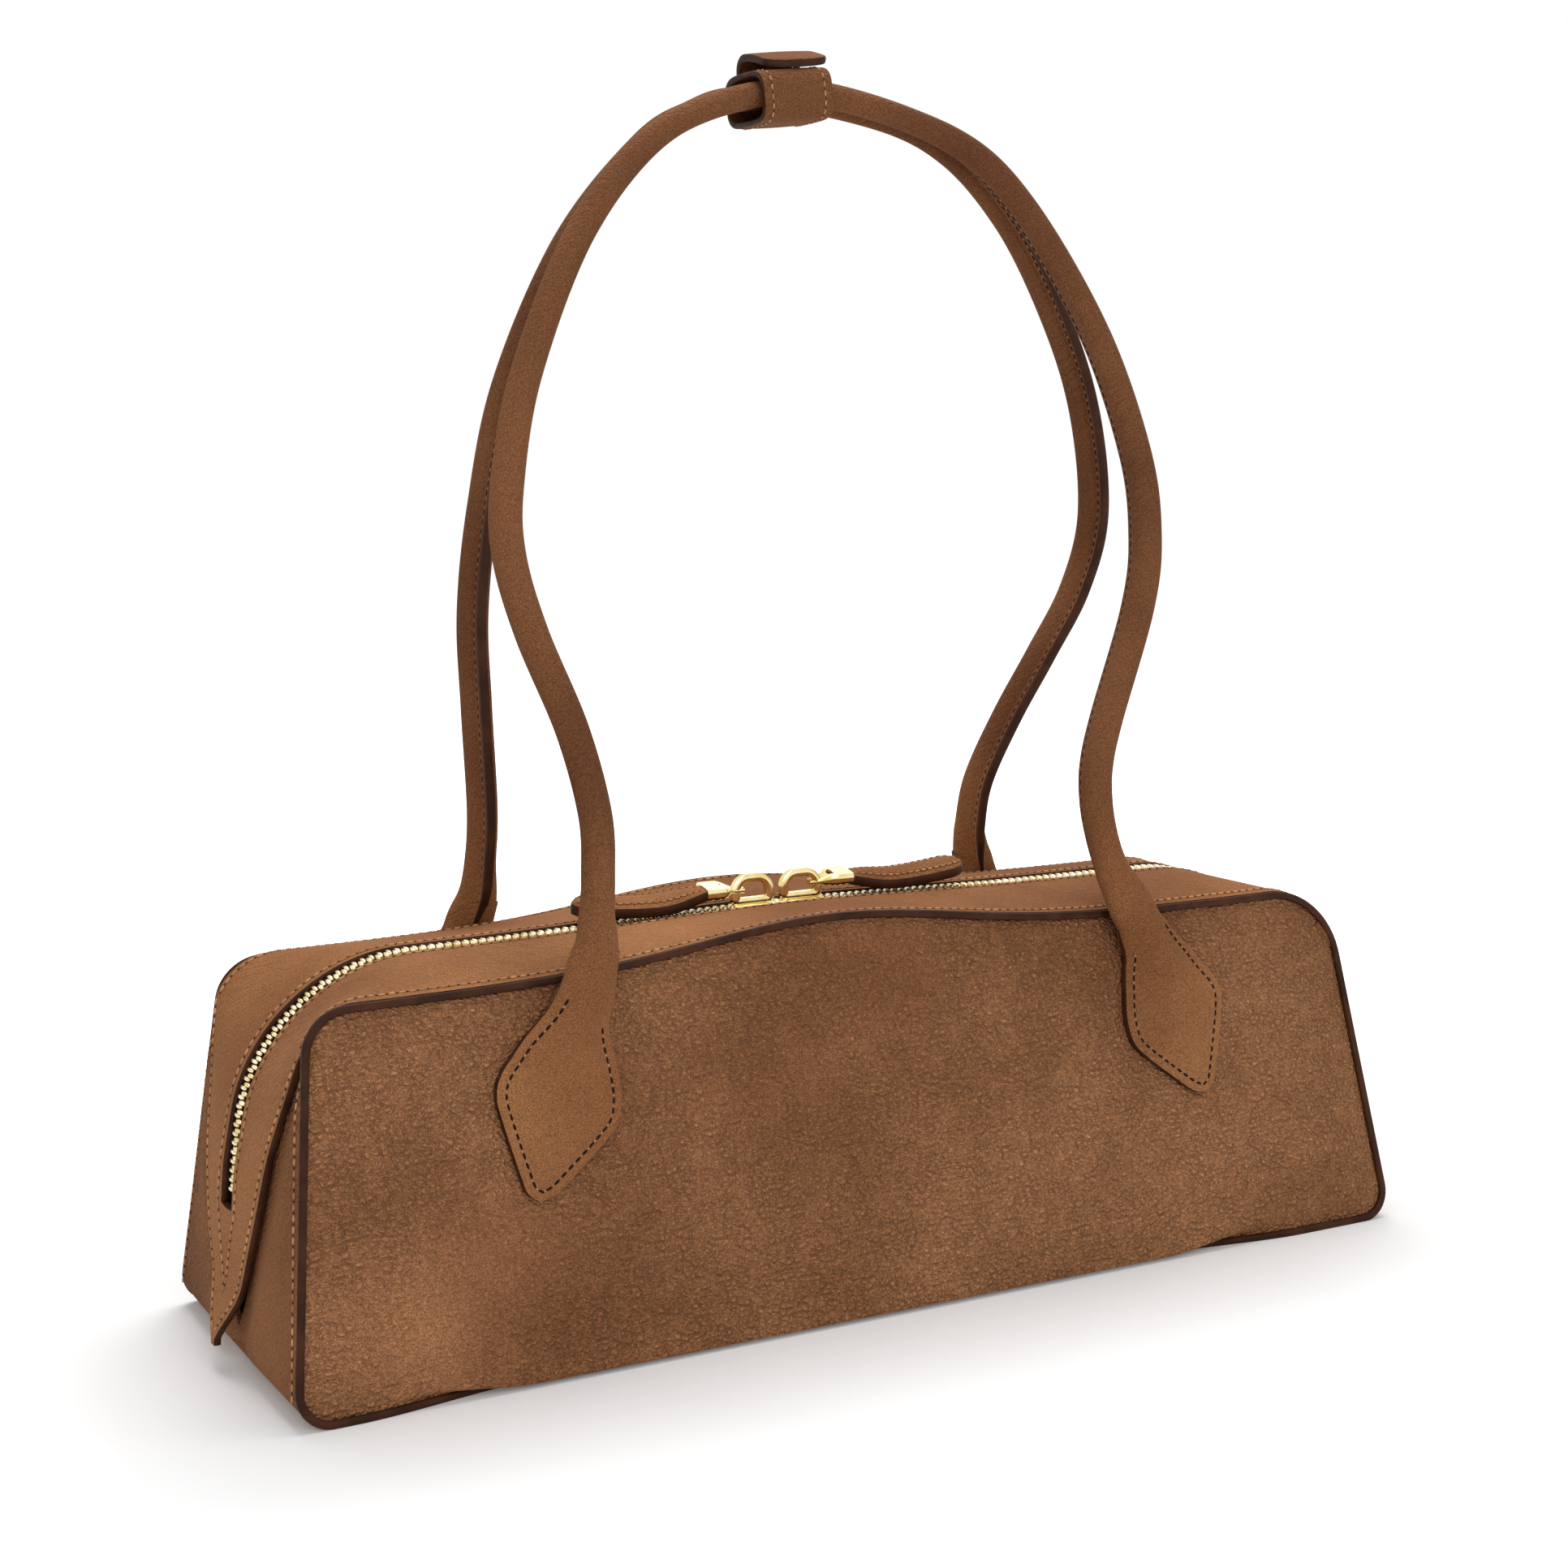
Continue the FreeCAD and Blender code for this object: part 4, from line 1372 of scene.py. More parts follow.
@dataclass
class ZipBand:
    """Band that carries the zip, with its pointed end tongues, gussets, tapes, teeth and stops."""

    form: BagForm
    palette: Palette
    leather: float = 1.9
    slot_half: float = 4.7
    slot_end: float = 42.0
    slot_over: float = 2.0
    tip_height: float = 4.5
    foot_height: float = 14.0
    join_height: float = 91.0
    tongue_lift: float = 0.9
    tip_lift: float = 4.0
    gusset_drop: float = 2.2
    gusset_run: float = 13.0
    edge_back: float = 0.8
    gusset_foot: float = 2.6
    gusset_under: float = 3.0
    gusset_leather: float = 1.6
    tape_drop: float = 2.0
    tape: float = 0.7
    tape_inner: float = 2.2
    tape_outer: float = 12.9
    tooth_drop: float = 0.95
    tooth_margin: float = 4.0
    tooth_pitch: float = 2.4

    def __post_init__(self) -> None:
        """Work out the places of the tongues' ends."""
        self.tips = self.both_ends(self.form.middle_line, self.tip_height)
        self.joins = self.both_ends(self.form.seam_line, self.join_height)
        self.slot_ends = self.both_ends(self.form.middle_line, self.slot_end)
        self.straight = self.both_ends(self.form.middle_line, self.foot_height)

    def both_ends(self, line: Array, height: float) -> list[float]:
        """Places on the right and the left end of an outline at a height."""
        return [self.form.at_height(line, height, hand) for hand in (Hand.RIGHT, Hand.LEFT)]

    def tongue(self, at: Array) -> Array:
        """Share of the half depth where the band ends: a point at each tip, all of it at the joins."""
        edge = smooth_path(TONGUE_EDGE, 12)
        return np.interp(self.along_tongue(at), edge[:, 0], edge[:, 1])

    def along_tongue(self, at: Array) -> Array:
        """Share of a tongue's length from its tip, and 1 between the tongues."""
        right = (at - self.tips[0]) / (self.joins[0] - self.tips[0])
        left = (self.tips[1] - at) / (self.tips[1] - self.joins[1])
        return np.clip(np.minimum(right, left), 0.0, 1.0)

    def lift(self, at: Array) -> Array:
        """How far the band stands off the gussets: most at the tongues' free tips."""
        along = self.along_tongue(at)
        flat = self.tongue_lift * (1.0 - ramp(0.7, 1.0, along))
        return flat + self.tip_lift * (1.0 - ramp(0.0, 0.3, along))

    def on_band(self, at: Array, across: Array, lift: Array) -> Array:
        """Points of the band, whose tongues hang straight where the base's corners turn.

        Args:
            at: Place round the outline.
            across: Share of the half depth.
            lift: Distance out of the surface.

        Returns:
            The points.
        """
        held = np.clip(at, *self.straight)
        slope = self.form.plain(held + 1.0, across) - self.form.plain(held, across)
        return self.form.on(held, across, lift) + (at - held)[..., None] * slope

    def band_grid(self) -> tuple[Array, Array, Array]:
        """Lay a grid along the band.

        Returns:
            Places round the band, and its inner and outer share across at each.
        """
        step = 0.3
        first, last = self.slot_ends
        at = np.concatenate([
            np.linspace(self.tips[0], first, 44),
            np.linspace(first + step, last - step, 330),
            np.linspace(last, self.tips[1], 44),
        ])
        open_here = (at > first + step / 2) & (at < last - step / 2)
        inner = np.where(open_here, self.form.share(self.slot_half, at), 0.0)
        outer = np.maximum(self.tongue(at), self.form.share(1.4, at))
        outer = np.minimum(outer, 1.0 - self.form.share(self.edge_back, at))
        return at[:, None], inner[:, None], outer[:, None]

    def build_band(self, side: Side) -> None:
        """Half of the band, with painted edges on the slot and the tongues.

        Args:
            side: The long side.
        """
        at, inner, outer = self.band_grid()
        share = np.linspace(0.0, 1.0, 22)[None]
        across = (inner + (outer - inner) * share) * side.value
        top = self.on_band(at, across, self.lift(at))
        under = self.on_band(at, across, self.lift(at) - self.leather)
        finishes = self.palette.edged_trim
        label = side.label + "_zip_band"
        piece = shell(label + "_leather", top, under, finishes, rim_marks=(1, 1), rim_bulge=0.4)
        WALL_SEAT[side].hold(piece, "body_leather", label)

    def build_gusset(self, side: Side, hand: Hand) -> None:
        """Gusset wing between a tongue and a side's seam.

        Args:
            side: The long side.
            hand: End of the bag.
        """
        form = self.form
        index = 0 if hand is Hand.RIGHT else 1
        foot = form.at_height(form.seam_line, self.gusset_foot, hand)
        at = np.linspace(foot, self.joins[index], 90)[:, None]
        edge = self.tongue(at)
        start = np.maximum(edge - form.share(self.gusset_under, at), 0.0)
        start = np.minimum(start, 1.0 - form.share(1.5, at))
        end = 1.0 - form.share(self.edge_back, at)
        across = start + (end - start) * np.linspace(0.0, 1.0, 26)[None]
        away = (across - edge) / form.share(1.0, at)
        below = ramp(0.0, 8.0, form.sample(form.middle_line, at)[1] - self.tip_height + 6.0)
        drop = -self.gusset_drop * (1.0 - ramp(0.0, self.gusset_run, away)) * below
        top = form.on(at, across * side.value, drop)
        under = form.on(at, across * side.value, drop - self.gusset_leather)
        label = "%s_%s_gusset" % (side.label, hand.label)
        piece = shell(label + "_leather", top, under, [self.palette.gusset])
        WALL_SEAT[side].hold(piece, "body_leather", label)

    def build_zip(self, side: Side, teeth: Repeater) -> None:
        """Tape, teeth and stops of a side.

        Args:
            side: The long side.
            teeth: Tree for a row of teeth.
        """
        form = self.form
        first, last = self.slot_ends
        at = np.linspace(first - self.slot_over, last + self.slot_over, 330)[:, None]
        inner = form.share(self.tape_inner, at)
        outer = form.share(self.tape_outer, at)
        across = (inner + (outer - inner) * np.linspace(0.0, 1.0, 7)[None]) * side.value
        top = form.on(at, across, -self.tape_drop)
        under = form.on(at, across, -self.tape_drop - self.tape)
        piece = shell(side.label + "_zip_tape_cloth", top, under, [self.palette.tape], rim_bulge=0.1)
        WALL_SEAT[side].hold(piece, "zip_tape", side.label + "_zip_tape")
        places = np.linspace(first + self.tooth_margin, last - self.tooth_margin, 900)
        middle = np.zeros(len(places))
        path = form.on(places, middle, -self.tooth_drop)
        ups = form.normal(places, middle)
        run = Run.spaced(path, ups, self.tooth_pitch, 0.5 if side is Side.FRONT else 1.0)
        run.along = run.along * side.value
        chain = teeth.place(side.label + "_zip_teeth_row", [run], self.palette.teeth)
        WALL_SEAT[side].hold(chain, "zip_metal", side.label + "_zip_teeth")
        dress_node(side.label + "_zip_stops", self.palette.teeth)


@dataclass
class Stitching:
    """Rows of thread on the body."""

    form: BagForm
    band: ZipBand
    palette: Palette
    pitch: float = 2.7
    seam_inset: float = 3.0
    slot_inset: float = 2.4
    tongue_inset: float = 2.2
    sink: float = -0.1
    slot_row_end: float = 20.0

    def row(self, at: Array, across: Array, lift: Array | float) -> Arrays:
        """Path of a row on the surround, and the directions out of it."""
        return self.band.on_band(at, across, np.asarray(lift) - self.sink), self.form.normal(at, across)

    def build(self, side: Side, needle: Needle) -> None:
        """Rows of a side: along its seam, its slot, its tongues and its gussets.

        Args:
            side: The long side.
            needle: Sews the rows.
        """
        form, band = self.form, self.band
        sign = side.value
        slot_row = band.slot_half + self.slot_inset
        rows = []
        top = np.linspace(band.joins[0] + 1.0, band.joins[1] - 1.0, 700)
        rows.append(self.row(top, sign * (1.0 - form.share(self.seam_inset, top)), 0.0))
        slot = np.linspace(band.slot_ends[0] - band.slot_over, band.slot_ends[1] + band.slot_over, 900)
        rows.append(self.row(slot, sign * form.share(slot_row, slot), band.lift(slot)))
        for index, hand in enumerate((Hand.RIGHT, Hand.LEFT)):
            tongue = np.linspace(band.tips[index], band.joins[index], 260)
            edge = band.tongue(tongue) - form.share(self.tongue_inset, tongue)
            clear = edge > 0.02
            rows.append(self.row(tongue[clear], sign * edge[clear], band.lift(tongue[clear])))
            foot = form.at_height(form.seam_line, 6.0, hand)
            wing = np.linspace(foot, band.joins[index], 260)
            seam = 1.0 - form.share(self.seam_inset, wing)
            away = (seam - band.tongue(wing)) / form.share(1.0, wing)
            clear = away > 2.0
            drop = -band.gusset_drop * (1.0 - ramp(0.0, band.gusset_run, away))
            rows.append(self.row(wing[clear], sign * seam[clear], drop[clear]))
            end = band.slot_ends[index]
            low = form.at_height(form.middle_line, self.slot_row_end, hand)
            vee = np.linspace(end, low, 120)
            fade = (vee - low) / (end - low)
            rows.append(self.row(vee, sign * form.share(slot_row, vee) * fade, band.lift(vee)))
        row_finish = self.palette.tan_row
        needle.sew(side.label + "_body", rows, self.pitch, row_finish, WALL_SEAT[side], "body_leather")


# Edges of a tab: distance from the bag's middle and height on the seam plane, from the neck to the tip.
TAB_OUTER = [
    (90.0, 105.5), (93.4, 98.6), (98.2, 92.8), (106.2, 83.4), (110.6, 78.2), (112.2, 73.6), (111.6, 68.0),
    (107.7, 52.0), (106.2, 48.0), (103.4, 45.9),
]
TAB_INNER = [
    (76.3, 105.5), (78.4, 97.0), (80.3, 90.5), (80.3, 85.0), (79.2, 76.0), (78.8, 69.5), (80.2, 63.0),
    (84.3, 58.4), (95.0, 50.0), (99.5, 46.9), (103.4, 45.9),
]
# Half of the angle at which a roll's section opens into its flange, in degrees, and points round it.
ROLL_OPENING = 24.0
ROLL_STEPS = 25
# Flare of a roll at its feet: height and half width.
ROLL_FLARE = [(96.0, 6.6), (100.0, 7.1), (104.5, 6.7), (110.0, 5.6), (116.0, 4.75), (122.0, 4.4)]


@dataclass
class Handle:
    """Rolled handle with its filler cord and the two kite-shaped tabs that it ends in."""

    side: Side
    form: BagForm
    walls: Walls
    palette: Palette
    route: Sequence[Pair]
    radius: float = 4.4
    core_radius: float = 2.7
    core_twist: float = 0.12
    flange: float = 3.0
    flange_half: float = 1.5
    flange_fade: float = 18.0
    slimming: float = 0.13
    slim_run: Pair = (200.0, 315.0)
    crown_slimming: float = 0.09
    crown_half: float = 34.0
    crown_run: float = 22.0
    crown_flange: float = 0.4
    stitched_share: float = 0.6
    neck_out: float = 5.6
    tab_rows: int = 84
    neck_start: float = 80.0
    neck_end: float = 101.0
    shift_start: float = 86.0
    edge_height: float = 3.2
    seat_top: float = 84.0
    groove: float = 0.45
    groove_width: float = 0.8
    puff: float = 1.0
    dome: float = 5.0
    dome_width: float = 6.5
    stitch_inset: float = 2.4
    stitch_pitch: float = 2.6
    stitch_tops: Pair = (97.0, 88.0)

    def __post_init__(self) -> None:
        """Work out the handle's path and the direction of its flange."""
        high = box_of(self.side.label + "_handle_roll")[1]
        sign = self.side.value
        joint = [j for j in frame["joints"] if j["name"] == self.side.label + "_handle_swing"][0]
        self.hinge = np.array(joint["pos_m"]) / MM
        top_y = sign * (self.radius + 0.7)
        top_z = high[2] - self.radius
        slope = (top_y - self.hinge[1]) / (top_z - self.hinge[2])
        points = [(x, self.hinge[1] + (z - self.hinge[2]) * slope, z) for x, z in self.route]
        self.path = evenly(smooth_path(points, 24), 420)
        self.along = unit(np.gradient(self.path, axis=0))
        inward = np.array([0.0, -sign, 0.0])
        self.inward = unit(inward - (self.along @ inward)[:, None] * self.along)
        self.across = np.cross(self.along, self.inward)

    def in_keeper(self) -> Array:
        """1 along the crown, in the keeper and beside it, where the handle is pinched; 0 away from it."""
        away = np.abs(self.path[:, 0])
        return 1.0 - ramp(self.crown_half, self.crown_half + self.crown_run, away)

    def flange_reach(self) -> Array:
        """Work out how far the flange stands out: nothing at the necks, little along the crown.

        Returns:
            The distance at each point of the path.
        """
        along = arc_lengths(self.path)
        ends = np.minimum(along, along[-1] - along)
        pressed = 1.0 - (1.0 - self.crown_flange) * self.in_keeper()
        return self.flange * ramp(1.0, self.flange_fade, ends) * pressed

    def build_roll(self) -> None:
        """Rolled leather with a stitched, painted seam flange."""
        turns = np.radians(np.linspace(ROLL_OPENING, 360.0 - ROLL_OPENING, ROLL_STEPS))
        flare = smooth_path(ROLL_FLARE, 8)
        slim = 1.0 - self.slimming * ramp(*self.slim_run, self.path[:, 2])
        slim = slim - self.crown_slimming * self.in_keeper()
        halves = np.interp(self.path[:, 2], flare[:, 0], flare[:, 1]) * slim
        rings = []
        for place, inward, across, reach, wide, deep in zip(
            self.path, self.inward, self.across, self.flange_reach(), halves, self.radius * slim
        ):
            share = reach / self.flange
            body = np.stack([np.cos(turns) * deep, np.sin(turns) * wide], axis=1)
            tip = deep + reach
            half = self.flange_half * (0.35 + 0.65 * share)
            edge = [(tip - 0.9 * share, -half), (tip - 0.25 * share, -half * 0.85), (tip, -half * 0.5)]
            ring = np.vstack([body, edge, np.array(edge[::-1]) * [1, -1]])
            rings.append(place + ring[:, :1] * inward + ring[:, 1:] * across)
        marks = [0] * ROLL_STEPS + [1] * 5 + [0]
        label = self.side.label + "_handle_roll"
        piece = loft(label + "_leather", rings, self.palette.edged_roll, marks)
        HANDLE_SEAT[self.side].hold(piece, "handle_leather", label)

    def build_core(self) -> None:
        """Twisted filler cord inside the roll."""
        turns = np.linspace(0.0, 2 * math.pi, 15, endpoint=False)
        twist = turns + np.arange(len(self.path))[:, None] * self.core_twist
        wave = self.core_radius * (0.93 + 0.07 * np.cos(3 * turns))
        rings = self.path[:, None] + (wave * np.cos(twist))[..., None] * self.inward[:, None]
        rings = rings + (wave * np.sin(twist))[..., None] * self.across[:, None]
        label = self.side.label + "_handle_core"
        piece = loft(label + "_cord", rings[8:-8], [self.palette.cord])
        HANDLE_SEAT[self.side].hold(piece, "handle_core", label)

    def tab_edges(self, hand: Hand) -> Arrays:
        """Outer and inner edge of a tab, from its neck to its tip.

        Args:
            hand: End of the bag.

        Returns:
            Evenly spaced points of each edge: distance from the middle and height on the seam plane.
        """
        foot = self.path[:70] if hand is Hand.LEFT else self.path[:-71:-1]
        edges = [evenly(smooth_path(knots, 10), self.tab_rows) for knots in (TAB_OUTER, TAB_INNER)]
        rise = self.neck_out * math.sin(self.form.lean)
        for edge, other in (edges, edges[::-1]):
            middle = (edge[:, 0] + np.interp(-edge[:, 1], -other[:, 1], other[:, 0])) / 2
            roll = np.interp(edge[:, 1] + rise, foot[:, 2], np.abs(foot[:, 0]))
            edge[:, 0] += (roll - middle) * ramp(self.shift_start, self.neck_end, edge[:, 1])
        return edges[0], edges[1]

    def tab_levels(self, hand: Hand, places: Array) -> Arrays:
        """Height of a tab's face and underside out of the seam plane.

        Args:
            hand: End of the bag.
            places: Distance from the middle and height on the seam plane.

        Returns:
            The two heights at each place: a puffed plate that turns into the roll's round neck.
        """
        outer, inner = self.tab_edges(hand)
        reach, height = places.T
        edge = edge_distance(places, np.vstack([outer, inner[::-1]]))
        far = np.interp(-height, -outer[:, 1], outer[:, 0])
        near = np.interp(-height, -inner[:, 1], inner[:, 0])
        sideways = reach - (far + near) / 2
        across = np.clip(2.0 * sideways / np.maximum(far - near, 0.1), -1.0, 1.0)
        seat = self.walls.depth(reach * hand.value, np.minimum(height, self.seat_top))
        groove = -self.groove * np.exp(-((edge - self.stitch_inset) / self.groove_width) ** 2)
        padding = self.puff * ramp(self.stitch_inset, 9.0, edge)
        ridge = self.dome * ramp(60.0, self.neck_end, height)
        dome = ridge * np.exp(-(sideways / self.dome_width) ** 2)
        rim = self.edge_height * (0.78 + 0.22 * ramp(0.0, 1.2, edge))
        plate = seat + rim + groove + padding + dome
        flush = 1.03 - 0.07 * ramp(self.neck_end, 105.0, height)
        bulge = self.radius * flush * np.sqrt(1.0 - across ** 2)
        neck = ramp(self.neck_start, self.neck_end, height)
        face = (self.neck_out + bulge) * neck + plate * (1.0 - neck)
        return face, (self.neck_out - bulge) * neck + (seat + 0.15) * (1.0 - neck)

    def on_tab(self, hand: Hand, places: Array, out: Array) -> Array:
        """Points over places of a tab, at distances out of the seam plane."""
        return self.form.on_side(self.side, places[..., 0] * hand.value, places[..., 1], out)

    def build_tab(self, hand: Hand, needle: Needle) -> None:
        """Kite-shaped tab that grows out of the roll, sewn to the panel.

        Args:
            hand: End of the bag.
            needle: Sews the row round the tab.
        """
        outer, inner = self.tab_edges(hand)
        share = 0.5 + 0.5 * np.sin(np.linspace(-1.0, 1.0, 33) * math.pi / 2)
        grid = inner[:, None] + (outer - inner)[:, None] * share[None, :, None]
        levels = self.tab_levels(hand, grid.reshape(-1, 2))
        face, back = (self.on_tab(hand, grid, level.reshape(grid.shape[:2])) for level in levels)
        label = "%s_%s_handle_tab" % (self.side.label, hand.label)
        finishes = self.palette.edged_trim
        piece = shell(label + "_leather", face, back, finishes, rim_marks=(1, 1), rim_bulge=0.3)
        seat = WALL_SEAT[self.side]
        seat.hold(piece, "body_leather", label)
        around = np.vstack([outer, inner[::-1]])
        outer_row = outer[outer[:, 1] < self.stitch_tops[0]]
        inner_row = inner[inner[:, 1] < self.stitch_tops[1]]
        line = np.vstack([outer_row, inner_row[::-1]])
        ways = unit(np.gradient(line, axis=0))
        row = line + np.stack([ways[:, 1], -ways[:, 0]], axis=1) * self.stitch_inset
        row = row[edge_distance(row, around) > self.stitch_inset * 0.95]
        path = self.on_tab(hand, row, self.tab_levels(hand, row)[0])
        ups = np.broadcast_to(self.form.side_out(self.side), path.shape)
        needle.sew(label, [(path, ups)], self.stitch_pitch, self.palette.dark_row, seat, "body_leather")

    def build_stitches(self, needle: Needle) -> None:
        """Rows of stitches on both faces of the flange, where it stands out far enough.

        Args:
            needle: Sews the rows.
        """
        rows = []
        reach = self.flange_reach()
        keep = (reach > self.flange * self.stitched_share).astype(int)
        bounds = np.flatnonzero(np.diff(np.concatenate([[0], keep, [0]])))
        for sign in (-1, 1):
            path = self.path + self.inward * (self.radius + reach * 0.35)[:, None]
            path = path + self.across * sign * (self.flange_half + 0.05)
            for first, last in zip(bounds[::2], bounds[1::2]):
                rows.append((path[first:last], self.across[first:last] * sign))
        name = self.side.label + "_handle"
        seat = HANDLE_SEAT[self.side]
        needle.sew(name, rows, self.stitch_pitch, self.palette.dark_row, seat, "handle_leather")


# Turned profiles of the snap's halves: share of the radius and share of the height.
STUD_PROFILE = [(1.0, 0.0), (1.0, 0.3), (0.85, 0.55), (0.5, 0.6), (0.42, 1.0), (0.2, 1.08)]
CAP_PROFILE = [(0.85, 0.0), (1.0, 0.12), (1.06, 0.5), (1.0, 0.95), (0.6, 1.0), (0.5, 1.9)]


@dataclass
class Keeper:
    """Strap that holds the handles together, with its flap and snap."""

    palette: Palette
    shift: float = -2.8
    tilt: float = 5.5
    width: float = 21.4
    wall: float = 1.5
    rise: float = -0.05
    lift: float = 1.1
    squareness: float = 0.5
    flap_shift: float = -1.2
    flap_width: float = 19.6
    flap_wall: float = 2.0
    tip_round: float = 3.6
    stitch_inset: float = 2.7
    stitch_pitch: float = 2.5

    def tilted(self, points: Array | list[Array], pivot: Array) -> Array:
        """Turn points with the keeper, which hangs a little lower on the left.

        Args:
            points: The points.
            pivot: Point that stays in place.

        Returns:
            The turned points.
        """
        turn = math.radians(self.tilt)
        away = np.asarray(points) - pivot
        x = away[..., 0] * math.cos(turn) - away[..., 2] * math.sin(turn)
        z = away[..., 0] * math.sin(turn) + away[..., 2] * math.cos(turn)
        return np.stack([x, away[..., 1], z], axis=-1) + pivot

    def build_loop(self, needle: Needle) -> None:
        """Closed strap round both handles.

        Args:
            needle: Sews the rows along the strap's edges.
        """
        low, high = box_of("keeper_loop")
        low[2] += self.rise
        high[2] += self.lift
        centre = (low + high) / 2 + [self.shift, 0.0, 0.0]
        half = (high - low) / 2 - [0.0, self.wall / 2, self.wall / 2]
        turns = np.linspace(0.0, 2 * math.pi, 96, endpoint=False)
        y = squared(np.cos(turns), self.squareness) * half[1]
        z = squared(np.sin(turns), self.squareness) * half[2]
        path = np.stack([np.zeros(len(turns)), y, z], axis=1) + centre
        path = evenly(np.vstack([path, path[:1]]), 97)[:-1]
        along = unit(np.roll(path, -1, axis=0) - np.roll(path, 1, axis=0))
        across = np.array([1.0, 0.0, 0.0])
        ups = np.cross(across, along) * -1.0
        rings = [strap_ring(p, across, u, self.width / 2, self.wall, 0.25) for p, u in zip(path, ups)]
        rings = self.tilted(rings, centre)
        piece = loft("keeper_loop_leather", rings, self.palette.edged_roll, STRAP_MARKS, closed=True)
        Seat("keeper").hold(piece, "trim_leather", "keeper_loop")
        rows = []
        for sign in (-1, 1):
            row = path + across * sign * (self.width / 2 - self.stitch_inset)
            row = row + ups * (self.wall / 2 + 0.15)
            rows.append((self.tilted(row, centre), self.tilted(ups, np.zeros(3))))
        row_finish = self.palette.tan_row
        needle.sew("keeper_loop", rows, self.stitch_pitch, row_finish, Seat("keeper"), "trim_leather")

    def build_flap(self) -> None:
        """Flap that rises behind the loop, folds over it and ends in a round lifted tongue."""
        low, high = box_of("keeper_flap")
        half_width = self.flap_width / 2
        back_y = high[1]
        middle = (low[2] + high[2]) / 2
        points = [
            (back_y - 1.4, middle - 10.5), (back_y - 1.0, middle - 6.5), (back_y - 1.6, middle - 1.8),
            (back_y - 4.4, middle + 1.9), (3.0, middle + 2.2), (-3.4, middle + 0.6),
            (low[1] - 1.0, middle - 1.4),
        ]
        points = [(self.flap_shift, y, z) for y, z in points]
        path = evenly(smooth_path(points, 10), 60)
        along = unit(np.gradient(path, axis=0))
        across = np.array([1.0, 0.0, 0.0])
        ups = np.cross(along, across)
        ups = ups * np.where(ups[:, 2:] < -1e-6, -1.0, 1.0)
        run = arc_lengths(path)
        rounding = np.maximum(self.tip_round - (run[-1] - run), 0.0) / self.tip_round
        width = half_width * np.sqrt(np.clip(1.0 - rounding ** 2, 0.02, 1.0))
        width = width * (0.8 + 0.2 * ramp(0.0, 12.0, run))
        rings = [strap_ring(p, across, u, w, self.flap_wall, 0.2) for p, u, w in zip(path, ups, width)]
        rings = self.tilted(rings, np.array([self.shift, 0.0, middle]))
        piece = loft("keeper_flap_leather", rings, self.palette.edged_roll, STRAP_MARKS, cap_mark=1)
        Seat("keeper", "keeper_flap", 330.0, 336.0).hold(piece, "trim_leather", "keeper_flap")

    def build_snap(self) -> None:
        """Domed halves of the snap."""
        for node, body, steps in (
            ("snap_stud", "keeper", STUD_PROFILE),
            ("snap_cap", "keeper_flap", CAP_PROFILE),
        ):
            low, high = box_of(node)
            centre = (low + high) / 2
            radius = (high[0] - low[0]) / 2
            turns = np.linspace(0.0, 2 * math.pi, 40, endpoint=False)
            rings = []
            for spread, rise in steps:
                ring = np.stack([np.cos(turns), np.sin(turns), np.zeros(40)], axis=1) * radius * spread
                rings.append(ring + [centre[0] + self.shift, centre[1], low[2] + (high[2] - low[2]) * rise])
            piece = loft(node + "_metal", rings, [self.palette.gold])
            Seat(body).hold(piece, "gold_metal", node)


